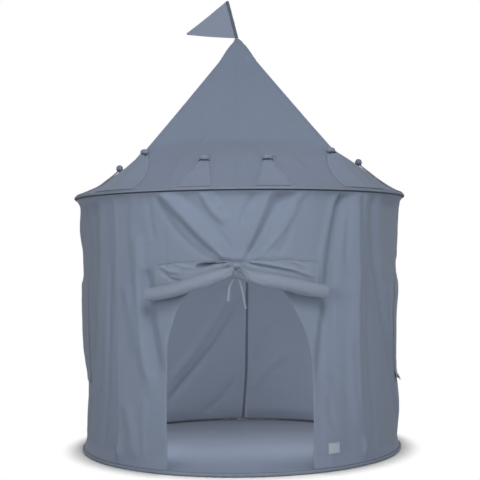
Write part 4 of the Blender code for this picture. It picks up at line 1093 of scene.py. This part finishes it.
class PLAYTENT_OT_floor(TentOperator):
    """Round floor cloth, lightly rumpled"""
    bl_idname = "playtent.floor"
    bl_label = "Floor cloth"

    def execute(self, context):
        size = context.scene.tent_sizes
        rings, spokes = 54, 120
        edge = 0.4741
        across, up, faces = grid(spokes, rings, wrap=True)
        reach = 0.006 + (edge - 0.006) * (1.0 - up)
        angle = across * 360.0
        x, y = reach * np.sin(np.radians(angle)), -reach * np.cos(np.radians(angle))
        held = smooth((edge - reach) / 0.03)
        swell = 0.0016 * (noise(x / 0.12, y / 0.10, 53) + 0.6 * noise(x / 0.045, y / 0.06, 59) + 0.9)
        crease = 0.0008 * (1.0 - np.abs(noise(x / 0.07 + y / 0.2, y / 0.05, 61)) * 2.2)
        z = 0.0013 + np.maximum(swell + crease, 0.0) * held
        points = joined(x, y, z)
        centre = len(points)
        points = np.concatenate([points, [[0.0, 0.0, float(z[-spokes:].mean())]]])
        hub = np.arange(rings * spokes, (rings + 1) * spokes)
        inner = points - np.array([0.0, 0.0, size.cloth - 0.00005])
        caps = joined(hub, np.roll(hub, -1), np.full(spokes, centre))
        rim = rim_edges(faces)
        total = len(points)
        first, last = rim[(rim < spokes).all(axis=1)].T
        sides = joined(last, first, first + total, last + total)
        every = faces.tolist() + (faces[:, ::-1] + total).tolist() + sides.tolist() + caps.tolist() \
            + (caps[:, ::-1] + total).tolist()
        uv = np.concatenate([points[:, :2], points[:, :2]])
        obj = mesh_piece("floor_cloth", np.concatenate([points, inner]), every, uv, finish("floor"))
        dress(obj, "tent", "floor_cloth", "floor_sheet")
        return {"FINISHED"}


class PLAYTENT_OT_roof(TentOperator):
    """Four roof panels with the seam strips over their ridges"""
    bl_idname = "playtent.roof"
    bl_label = "Roof"

    def execute(self, context):
        size = context.scene.tent_sizes
        for name, middle in (("front", 0.0), ("right", 90.0), ("back", 180.0), ("left", 270.0)):
            columns, rows = (110, 110) if name == "front" else (72, 80)
            across, up, faces = grid(columns, rows)
            z = roof_bottom + mouth_rise * up
            half = 45.0 - np.degrees(gap / 2.0 / np.maximum(ridge_radius(z), 0.014))
            angle = middle + half * (2.0 * across - 1.0)
            points = roof_place(angle, z)
            uv = joined(np.radians(angle - middle) * ridge_radius(z), ridge_run(z))
            obj = shell("roof_cloth_" + name, points, faces, uv, size.cloth, finish("roof"))
            dress(obj, "tent", "roof_cloth", "roof_" + name)
            area = flat_area(roof_place(angle, z, folded=False), faces)
        for corner, at in corner_angles.items():
            across, up, faces = grid(6, 90)
            z = roof_bottom + 0.004 + (mouth_rise - 0.020) * up
            angle = at + (across - 0.5) * strip_flat[0] / np.radians(ridge_radius(z))
            lift = 0.0003 + 0.0006 * np.cos((across - 0.5) * math.pi)
            points = roof_place(angle, z, lift + 0.0004)
            uv = joined(across * strip_flat[0], ridge_run(z))
            strip = shell("ridge_strip_" + corner, points, faces, uv, 0.0006, finish("roof"))
            dress(strip, "tent", "roof_cloth")

        # Gathered collar round the mast, over the roof's mouth
        across, up, faces = grid(72, 14, wrap=True)
        around = across * 2.0 * math.pi
        z = roof_bottom + mouth_rise - 0.0065 + 0.0135 * up
        radius = softened(up, (0.0, 0.35, 0.75, 1.0), (0.0142, 0.0128, 0.0082, 0.0060), 0.2)
        gathers = 0.0009 * np.sin(around * 11.0 + up * 1.5) + 0.0005 * np.sin(around * 5.0 + 1.0)
        radius += gathers * (1.0 - 0.5 * up)
        points = joined(mast_across(z) + radius * np.sin(around), -radius * np.cos(around), z)
        uv = joined(around * 0.010, up * 0.016)
        collar = shell("apex_collar", points, faces, uv, 0.0010, finish("roof"))
        dress(collar, "tent", "roof_cloth")
        return {"FINISHED"}


def climb(middle, lengths):
    """Heights reached by going each length up the roof from the eave."""
    z = np.linspace(roof_bottom, roof_bottom + 0.25, 600)
    line = roof_place(np.full_like(z, middle), z, folded=False)
    return np.interp(lengths, gone_along(line), z)


def crown_half(share, side, k):
    """Half width of a crown point on one side, from its neck down to the eave."""
    if k % 3 == 1:
        table = crown_ridge
    elif k in (0, 11):
        table = crown_outer if (side > 0) == (k == 0) else crown_inner
    else:
        table = crown_plain
    return softened(share, crown_steps, table, 0.06)


def ring_round(name, centre, axes, halves, tube, material):
    """An oval ring of thread: its middle, its three directions, its two half widths and its thickness."""
    steps, sides = 30, 8
    around, turn, faces = grid(steps, sides, wrap=True)
    a, b = around * 2.0 * math.pi, turn * 2.0 * math.pi
    side, slope, normal = axes
    out = tube * np.cos(b)
    middle = centre + (tube * np.sin(b))[:, None] * slope
    points = round_about(middle, side, normal, a, halves[0] + out, halves[1] + out)
    uv = joined(a * 0.01, b * tube)
    last = steps * sides
    return mesh_piece(name, points[:last], (faces % last)[:, ::-1].tolist(), uv[:last], material)


def pillow(name, centre, axes, halves, seed, material):
    """A stuffed tip, drawn in at its two ends."""
    steps = 28
    around, rise, faces = grid(steps, 16, wrap=True)
    a, b = around * 2.0 * math.pi, (rise - 0.5) * math.pi
    gather = 1.0 + 0.07 * np.sin(a * 9.0 + seed) * np.sin(b) ** 2 \
        + 0.05 * noise(a * 2.0, rise * 5.0 + seed, 71)
    ring = np.abs(np.cos(b)) ** 0.85 * gather
    along_side = np.sin(b) * halves[0]
    points = round_about(centre + along_side[:, None] * axes[0], axes[1], axes[2], a, ring * halves[1],
                         ring * halves[2])[steps:-steps]
    uv = joined(a * 0.009, along_side)[steps:-steps]

    # The two end rings are drawn to a point each
    count = len(points)
    end = axes[0] * halves[0] * 1.02
    first, last = np.arange(steps), np.arange(count - steps, count)
    caps = joined(np.roll(first, -1), first, np.full(steps, count)).tolist() \
        + joined(last, np.roll(last, -1), np.full(steps, count + 1)).tolist()
    return mesh_piece(name, np.concatenate([points, [centre - end, centre + end]]),
                      (faces[steps:-steps] - steps).tolist() + caps, np.concatenate([uv, np.zeros((2, 2))]),
                      material)


class PLAYTENT_OT_crown(TentOperator):
    """Twelve crown points sewn in at the eave, each tied off below a stuffed tip"""
    bl_idname = "playtent.crown"
    bl_label = "Crown points"

    def execute(self, context):
        for k, middle in enumerate(crown_middles):
            neck = crown_length - tip_length + crown_extra.get(k, 0.0)
            across, up, faces = grid(20, 38)
            length, share = neck * up, 1.0 - up
            z = climb(middle, length) + gap
            out = 2.0 * across - 1.0
            half = np.where(out > 0.0, crown_half(share, 1.0, k), crown_half(share, -1.0, k))
            radius = roof_radius(np.full_like(z, middle), z, folded=False)
            turn = crown_turns.get(k, 0.0) + crown_turn
            lean = turn * up + crown_leans.get(k, 0.0) * share
            angle = middle + lean + np.degrees(out * half / radius)
            gather = 0.0006 * np.sin(out * 13.0 + k) * smooth((up - 0.72) / 0.28)
            stand = 0.0005 + 0.0009 * smooth(up) ** 1.4 + 0.0010 * smooth((up - 0.85) / 0.15)
            crest = 0.0008 * (1.0 - out ** 2) * smooth(up * 4.0)
            wrinkle = 0.0006 * noise(out * 2.2 + k * 3.1, up * 6.0, 67)
            thick = 0.0009 + 0.0009 * np.sqrt(np.clip((1.0 - abs(out)) * half / 0.003, 0.0, 1.0))
            lift = np.maximum(stand + wrinkle + gather, 0.0003)
            low, high = roof_place(angle, z, lift), roof_place(angle, z, lift + crest + thick)
            uv = joined(out * half, length)
            cloth = shell("crown_cloth_%02d" % (k + 1), high, faces, uv, 0.0, finish("crown"), inner=low)
            dress(cloth, "tent", "crown_cloth", "crown_point_%02d" % (k + 1))
            wide = float(crown_half(1.0, 1.0, k) + crown_half(1.0, -1.0, k))
            area = min(flat_area(low, faces), wide * neck)

            # Stuffed tip, and the thread that ties it off; the thread's near-black colour is painted shade
            # under the tip
            at = np.array([middle + turn])
            heights = climb(middle, np.array([neck + 0.0006, neck + tip_length * 0.52]))
            spots = [roof_place(at, heights[:1], 0.0056)[0], roof_place(at, heights[1:], 0.0082)[0]]
            above = roof_place(at, heights[1:] + 0.004, 0.0082)[0]
            slope = unit(above - spots[1])
            side = radial(1.0, at[0] + 90.0, 0.0)
            axes = (side, slope, np.cross(side, slope))
            plump = crown_plumps.get(k, tip_plump)
            halves = (tip_halves[0], tip_halves[1] * plump, tip_halves[2] * plump)
            tip = pillow("crown_tip_%02d" % (k + 1), spots[1], axes, halves, k, finish("crown"))
            dress(tip, "tent", "crown_cloth")
            thread = ring_round("crown_thread_%02d" % (k + 1), spots[0], axes, thread_halves, thread_radius,
                                finish("shade_thread"))
            dress(thread, "tent", "crown_cloth")
        return {"FINISHED"}


def roll_size(arc):
    return softened(arc, roll_arcs, roll_sizes, 0.016)


def roll_height(arc):
    return softened(arc, roll_arcs, roll_heights, 0.016)


def doorway_height(angle):
    """Height of the doorway's edge above a place on the wall, or 0 beside the doorway."""
    route = arch_route()
    arch = route[route[:, 1] >= door_spring]
    return np.interp(angle, arch[:, 0], arch[:, 1], left=0.0, right=0.0)


class PLAYTENT_OT_curtain(TentOperator):
    """Door curtain: the sewn-on top and the roll, one spiral of cloth drawn in at its tie"""
    bl_idname = "playtent.curtain"
    bl_label = "Rolled curtain"

    def execute(self, context):
        size = context.scene.tent_sizes

        # Roll: the cloth runs down behind, under, up the front and inwards
        columns, rows = 168, int(size.roll_turns * 28)
        across, up, faces = grid(columns, rows)
        spiral = up * size.roll_turns
        bend = np.radians(180.0 + 360.0 * spiral)
        flat = size.roll_radius - 0.0030 * spiral
        ends = 0.0040 * np.sin(spiral * 2.3) - 0.0026 * spiral + 0.0040
        reach = roll_reach[0] - ends + (roll_reach[1] - roll_reach[0] + 2.0 * ends) * across
        share = roll_size(reach)
        from_tie = reach - tie_arc
        near_tie = np.exp(-np.abs(from_tie) / 0.040)
        tilt = reach * 16.0 * np.sign(from_tie)
        wrinkle = (0.050 + 0.12 * near_tie) * noise(bend * 1.1 + 20.0 + tilt * 0.4, reach / 0.060, 73) \
            + (0.030 + 0.20 * near_tie) * noise(bend * 2.2 + tilt, reach / 0.030, 79) \
            - 0.060 * np.abs(noise(bend * 1.4 - tilt * 1.6, reach / 0.075, 127))
        radius = flat * share * (1.0 + wrinkle)
        angle = np.degrees(reach / roll_line)
        centre = radial(roll_line, angle, roll_height(reach))
        way = unit(radial(roll_line, angle + 0.2, roll_height(reach + 0.00174)) - centre)
        out = radial(1.0, angle, 0.0)
        out = unit(out - way * (out * way).sum(axis=1, keepdims=True))
        lift = np.cross(way, out) * -1.0
        lift *= np.sign(lift[:, 2:3])
        points = round_about(centre, out, lift, bend, radius, radius)
        uv = joined(reach, up * 0.4)
        roll = shell("curtain_roll_cloth", points, faces, uv, 0.0011, finish("curtain"))
        dress(roll, "curtain_roll", "curtain_cloth", "door_roll")
        lines = points.reshape(rows + 1, -1, 3)
        turns = float(gone_along(lines[:, columns // 4])[-1])
        width = roll_reach[1] - roll_reach[0]
        area = min(flat_area(points, faces) * 0.97, width * turns)

        # Top of the curtain, from its seam on the wall to the back of the roll, tucked in left of the knot
        columns, rows = 150, 34
        across, up, faces = grid(columns, rows)
        start, end = curtain_ends
        angle = start + (end - start) * across
        arc = np.radians(angle) * roll_line
        low = roll_height(arc) - 0.002
        high = softened(angle, seam_angles, seam_heights, 1.2) + 0.0004 * noise(angle / 1.6, 0.0 * angle, 83)
        z = low + (high - low) * up
        back = roll_line - size.roll_radius * roll_size(arc) * 1.02
        seam = wall_radius(angle, high) + 0.0016
        radius = back + (seam - back) * smooth(up * 1.15) \
            + 0.0016 * noise(angle / 3.2, z / 0.035, 89) * np.sin(up * math.pi)
        radius += fold_depth(arc, z, curtain_folds, roll_line) * smooth((1.0 - up) / 0.12)
        over_wall = z > doorway_height(angle) - 0.002
        slit = np.interp(angle, slit_angles, slit_heights)
        near_slit = smooth((angle + 24.0) / 7.0) * smooth((-3.0 - angle) / 1.5)
        tuck = 0.006 * smooth((angle + 19.0) / 4.0) + 0.015 * smooth((angle + 15.3) / 5.5)
        tuck *= smooth((-3.0 - angle) / 1.5) * smooth((z - slit) / 0.005)
        radius += 0.0130 * near_slit * smooth((slit + 0.002 - z) / 0.006) * smooth((z - low) / 0.006)
        on_wall = np.maximum(radius, wall_radius(angle, z) + 0.0013)
        fade = 0.0001 + 0.012 * smooth((-10.5 - angle) / 4.0)
        inward = smooth((doorway_height(angle) - 0.002 - z) / fade)
        radius = np.where(over_wall, on_wall, on_wall + (radius - tuck - on_wall) * inward)
        points = radial(radius, angle, z)
        uv = joined(arc, z)
        flap = shell("curtain_top_cloth", points, faces, uv, 0.0009, finish("curtain"))
        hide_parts("door_curtain")
        area = flat_area(radial(roll_line, angle, z), faces)
        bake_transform(flap)

        # Dark thread line along the seam, painted shade: it stands for the shadow under the wall's lip over
        # the seam
        for name, first, last in (("left", -27.6, -3.4), ("right", 1.6, 25.4)):
            turn = np.linspace(first, last, int((last - first) / seam_stitch_angle))
            z = softened(turn, seam_angles, seam_heights, 1.2) - 0.0012
            row = wall_stitches("curtain_seam_" + name, turn, z, 0.0034, finish("shade_thread"), width=0.0011,
                                share=0.9)
            dress(row, "tent", "curtain_cloth")
        return {"FINISHED"}


class PLAYTENT_OT_tie(TentOperator):
    """Ribbon tie: a band round the roll, its knot, two bow loops and two tails"""
    bl_idname = "playtent.tie"
    bl_label = "Tie"

    def execute(self, context):
        size = context.scene.tent_sizes
        centre = np.array([tie_arc, -roll_line, float(roll_height(tie_arc))])
        band_radius = size.roll_radius * min(roll_sizes) * 1.16
        a = np.linspace(0.0, 2.0 * math.pi, 48, endpoint=False)
        line = centre + band_radius * joined(0.0 * a, np.cos(a), np.sin(a))
        line[:, 0] += 0.0007 * np.sin(a * 3.0)
        across = np.tile([1.0, 0.0, 0.0], (len(a), 1))
        band = ribbon_piece("door_tie_band", line, across, size.ribbon_width, 0.0009)
        dress(band, "curtain_roll", "ribbon", "door_tie")

        # Knot
        around, rise, faces = grid(32, 20, wrap=True)
        a, b = around * 2.0 * math.pi, (rise - 0.5) * math.pi * 0.98
        bulge = 1.0 + 0.12 * np.sin(3.0 * a + 2.0 * b) + 0.08 * noise(a * 1.6, rise * 6.0, 97)
        ring = joined(np.cos(b) * np.cos(a), np.cos(b) * np.sin(a), np.sin(b)) * knot_size
        knot_at = np.array(knot_place)
        points = knot_at + ring * bulge[:, None]
        caps = [list(range(31, -1, -1)), list(range(len(points) - 32, len(points)))]
        uv = joined(a * 0.006, b * 0.006)
        knot = mesh_piece("door_tie_knot", points, faces.tolist() + caps, uv, finish("ribbon"))
        dress(knot, "curtain_roll", "ribbon")

        # Bow loops, seen from the front as slim leaves
        for name, reach, wide, lean in (("right", 0.043, 0.0160, 38.0), ("left", 0.031, 0.0100, -21.0)):
            t = np.linspace(0.0, 2.0 * math.pi, 44, endpoint=False)
            swell = 0.5 * (1.0 - np.cos(t))
            x, y = wide * 0.5 * np.sin(t) * np.sqrt(swell), -reach * swell
            turn = math.radians(lean)
            px, pz = x * math.cos(turn) - y * math.sin(turn), x * math.sin(turn) + y * math.cos(turn)
            depth = -0.004 - 0.010 * swell * (1.0 - 0.45 * swell)
            line = knot_at + joined(px, depth, pz)
            across = unit(joined(0.30 * np.cos(t), np.full_like(t, -0.92), np.full_like(t, 0.25)))
            loop = ribbon_piece("door_tie_loop_" + name, line, across, 0.0062, 0.0007)
            dress(loop, "curtain_roll", "ribbon")

        # Tails, hanging free below the band
        for side, sign, long, reach, early in (("left", -1.0, 0.0625, 0.0185, 0.90),
                                               ("right", 1.0, 0.0810, 0.0195, 0.55)):
            s = np.linspace(0.0, 1.0, 34)
            away = early * (1.0 - (1.0 - s) ** 4) + (1.0 - early) * s ** 2
            x = tie_arc + sign * (0.00355 + reach * away)
            y = -roll_line + 0.0015 * np.sin(s * 5.0 + sign)
            line = joined(x, y, tail_top - long * s)
            twist = np.radians(sign * 22.0) * s + (0.5 if sign < 0 else 0.1)
            across = joined(np.cos(twist), np.sin(twist), np.zeros_like(s))
            width = 0.0065 * (1.0 - 0.10 * np.sin(s * 9.0) ** 2)
            tail = ribbon_piece("tie_ribbon_" + side, line, across, width, 0.0007, closed=False, bow=0.0004)
            dress(tail, "curtain_roll", "ribbon", "door_tie_tail_" + side)
        return {"FINISHED"}


class PLAYTENT_OT_windows(TentOperator):
    """Window nets and the covers that hang over them"""
    bl_idname = "playtent.windows"
    bl_label = "Windows"

    def execute(self, context):
        for side, sign in (("right", 1.0), ("left", -1.0)):
            across, up, faces = grid(60, 50)
            half = window_half_angle + 1.4
            angle = sign * 90.0 + half * (2.0 * across - 1.0)
            low, high = window_low - 0.012, window_high + 0.012
            z = low + (high - low) * up
            points = wall_place(angle, z, -0.0034)
            net = shell("net_cloth_" + side, points, faces, wall_uv(angle, z), 0.0004, finish("net"))
            dress(net, "tent", "net", "window_net_" + side)

            across, up, faces = grid(64, 62)
            angle = sign * 90.0 + cover_half_angle * (2.0 * across - 1.0)
            z = cover_low + (cover_high - cover_low) * up

            def cover_lift(turn, height):
                """Flush along its top and sides, hollow between, and curled at one low corner."""
                share = (height - cover_low) / (cover_high - cover_low)
                side_share = np.clip((turn - sign * 90.0) / cover_half_angle * 0.5 + 0.5, 0.0, 1.0)
                swell = np.sin(side_share * math.pi) ** 1.2 * smooth((1.0 - share) / 0.10) \
                    * smooth(share / 0.5 + 0.25)
                depth = 0.0068 if sign < 0.0 else 0.0022
                front = np.clip(1.0 - side_share if sign > 0.0 else side_share, 0.0, 1.0)
                curl = (0.015 if sign > 0.0 else 0.0035) * smooth((front - 0.80) / 0.20) \
                    * smooth((0.09 - share) / 0.09)
                ripple = 0.0005 * (noise(turn / 3.0, height / 0.16, 101) + 1.0) * smooth((1.0 - share) / 0.3)
                return 0.0003 + depth * swell + curl + ripple

            hem = np.minimum(np.minimum(across, 1.0 - across) * cover_width, up * (cover_high - cover_low))
            double = 0.0003 * smooth((0.013 - hem) / 0.001)
            lift = cover_lift(angle, z)
            inner = wall_place(angle, z, lift)
            outer = wall_place(angle, z, lift + 0.0007 + double)
            cover = shell("cover_cloth_" + side, outer, faces, wall_uv(angle, z), 0.0, finish("wall"),
                          inner=inner)
            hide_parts("window_cover_" + side)
            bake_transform(cover)
            first, last = sign * 90.0 - cover_seam_angle, sign * 90.0 + cover_seam_angle
            route = np.array([(first, cover_seam_high), (first, cover_seam_low), (last, cover_seam_low),
                              (last, cover_seam_high)])
            dense = along(route * metre_scale, 0.0049) / metre_scale
            rise = cover_lift(dense[:, 0], dense[:, 1]) + 0.0015
            row = wall_stitches("cover_stitches_" + side, dense[:, 0], dense[:, 1], rise, finish("thread"))
            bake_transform(row)
        return {"FINISHED"}


class PLAYTENT_OT_label(TentOperator):
    """Small bare label sewn near the hem"""
    bl_idname = "playtent.label"
    bl_label = "Bare label"

    def execute(self, context):
        across, up, faces = grid(14, 12)
        wide = math.degrees(label_width / wall_mid_radius)
        angle = label_angle + wide * (across - 0.5)
        z = label_middle + label_height * (up - 0.5)
        crown = 0.0004 * np.sin(across * math.pi) * np.sin(up * math.pi)
        outer = wall_place(angle, z, 0.0011 + crown)
        inner = wall_place(angle, z, 0.0004 + crown)
        label = shell("label_cloth", outer, faces, wall_uv(angle, z), 0.0, finish("label"), inner=inner)
        dress(label, "tent", "label", "blank_label")
        w, h = wide / 2.0 - 0.28, label_height / 2.0 - 0.0022
        route = [(label_angle - w, label_middle - h), (label_angle + w, label_middle - h),
                 (label_angle + w, label_middle + h), (label_angle - w, label_middle + h),
                 (label_angle - w, label_middle - h)]
        row = dress(sewn_row("label_stitches", route, 0.0014), "tent", "label")
        return {"FINISHED"}


class PLAYTENT_OT_sleeves(TentOperator):
    """Cloth sleeves that hold the wall poles inside"""
    bl_idname = "playtent.sleeves"
    bl_label = "Pole sleeves"

    def execute(self, context):
        for corner, at in corner_angles.items():
            across, up, faces = grid(18, 90, wrap=True)
            z = sleeve_low + (sleeve_high - sleeve_low) * up
            lean = pole_foot_radius + (pole_head_radius - pole_foot_radius) * z / eave_height
            a = across * 2.0 * math.pi
            radius = sleeve_radius - 0.0001 \
                + 0.0004 * noise(across * 6.0, z / 0.03, 103) * np.sin(up * math.pi)
            middle = radial(lean, at, z)
            out, side = radial(1.0, at, 0.0), radial(1.0, at + 90.0, 0.0)
            points = round_about(middle, -side, -out, a, radius, radius)
            uv = joined(a * sleeve_radius, z)
            sleeve = shell("sleeve_cloth_" + corner, points, faces, uv, 0.0007, finish("wall"))
            dress(sleeve, "tent", "lining_cloth", "pole_sleeve_" + corner)
        return {"FINISHED"}


class PLAYTENT_OT_flag(TentOperator):
    """Pennant with its sleeve round the leaning mast"""
    bl_idname = "playtent.flag"
    bl_label = "Flag"

    def execute(self, context):
        foot, top = (np.array([mast_across(z), 0.0, z]) for z in (flag_foot_z, mast_top_z))
        top += 0.0012 * np.array([-math.sin(mast_tilt), 0.0, math.cos(mast_tilt)])
        axis = unit(top - foot)
        hoist = float(np.linalg.norm(top - foot))
        tip = np.array([flag_tip[0], 0.0, flag_tip[1]])
        across, up, faces = grid(60, 40)

        def pennant(gone, rise):
            """A place on the pennant, from its sleeve out to its point and from its lower edge up."""
            low = foot + gone[:, None] * (tip - np.array([0.0, 0.0, 0.0025]) - foot)
            high = top + gone[:, None] * (tip + np.array([0.0, 0.0, 0.0025]) - top)
            points = low + rise[:, None] * (high - low)
            points[:, 1] += 0.0060 * np.sin(gone * 4.6) * gone
            points[:, 1] += 0.0014 * noise(gone * 5.0, rise * 4.0, 107) * gone
            points[:, 0] -= (mast_radius + 0.0010) * (1.0 - gone) * 0.6
            return points

        points = pennant(across, up)
        from_edge = np.minimum(up, 1.0 - up) * hoist * (1.0 - across * 0.95)
        thick = 0.0009 + 0.0008 * smooth((0.055 - across) / 0.012) \
            + 0.0005 * smooth((0.0065 - from_edge) / 0.001)
        uv = joined(across * 0.152, up * hoist)
        flag = shell("flag_cloth", points, faces, uv, thick, finish("flag"))
        dress(flag, "flag", "flag_cloth", "flag")
        area = flat_area(points, faces)
        for name, edge in (("low", 0.0), ("high", 1.0)):
            gone = np.linspace(0.07, 0.90, 44)
            inset = 0.0055 / (hoist * (1.0 - gone))
            line = pennant(gone, np.abs(edge - inset))
            row = stitches("flag_stitches_" + name, line + np.array([0.0, -0.0003, 0.0]),
                           np.tile([0.0, -1.0, 0.0], (len(line), 1)), finish("thread"))
            dress(row, "flag", "flag_cloth")

        around, rise, sleeve_faces = grid(24, 40, wrap=True)
        a = around * 2.0 * math.pi
        radius = mast_radius + 0.0020 + 0.0003 * noise(around * 6.0, rise * 12.0, 109)
        side = np.array([0.0, 1.0, 0.0])
        out = np.cross(side, axis)
        middle = foot + axis * (rise * hoist)[:, None]
        ring = round_about(middle, -side, out, a, radius, radius)
        uv = joined(a * 0.005, rise * hoist)
        sleeve = shell("flag_sleeve", ring, sleeve_faces, uv, 0.0008, finish("flag_band"))
        dress(sleeve, "flag", "flag_cloth")
        return {"FINISHED"}


class PLAYTENT_OT_frame(TentOperator):
    """Finishes for the hoops, poles, elbows, feet, hub and mast"""
    bl_idname = "playtent.frame"
    bl_label = "Frame finishes"

    def execute(self, context):
        kinds = {"base_hoop": "steel", "eave_hoop": "steel", "flag_mast": "pole", "apex_hub": "fitting"}
        for corner in corner_angles:
            kinds.update({"wall_pole_" + corner: "pole", "roof_pole_" + corner: "pole",
                          "eave_elbow_" + corner: "fitting", "pole_foot_" + corner: "fitting"})
        for node, kind in kinds.items():
            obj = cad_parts[node]
            obj.data.materials.clear()
            obj.data.materials.append(finish(kind))
            obj.data.shade_smooth()
            obj.data.set_sharp_from_angle(angle=math.radians(38.0))
        return {"FINISHED"}


steps = (PLAYTENT_OT_stage, PLAYTENT_OT_walls, PLAYTENT_OT_casings, PLAYTENT_OT_floor, PLAYTENT_OT_roof,
         PLAYTENT_OT_crown, PLAYTENT_OT_curtain, PLAYTENT_OT_tie, PLAYTENT_OT_windows, PLAYTENT_OT_label,
         PLAYTENT_OT_sleeves, PLAYTENT_OT_flag, PLAYTENT_OT_frame)


class PLAYTENT_PT_panel(bpy.types.Panel):
    """Lists the tent's sizes, colours and pieces"""
    bl_idname = "PLAYTENT_PT_panel"
    bl_label = "Play Tent"
    bl_space_type = "VIEW_3D"
    bl_region_type = "UI"
    bl_category = "Play Tent"

    def draw(self, context):
        for group in (context.scene.tent_sizes, context.scene.tent_colours, context.scene.tent_stage):
            box = self.layout.box()
            for key in group.__annotations__:
                box.prop(group, key)
        for step in steps:
            self.layout.operator(step.bl_idname)


groups = {"tent_sizes": TentSizes, "tent_colours": TentColours, "tent_stage": TentStage}
classes = (*groups.values(), *steps, PLAYTENT_PT_panel)


def register():
    for item in classes:
        bpy.utils.register_class(item)
    for name, group in groups.items():
        setattr(bpy.types.Scene, name, PointerProperty(type=group))


def unregister():
    for name in groups:
        delattr(bpy.types.Scene, name)
    for item in reversed(classes):
        bpy.utils.unregister_class(item)


def main():
    register()
    for step in steps:
        getattr(bpy.ops.playtent, step.bl_idname.split(".")[1])()
    bpy.context.view_layer.update()


if __name__ == "__main__":
    main()
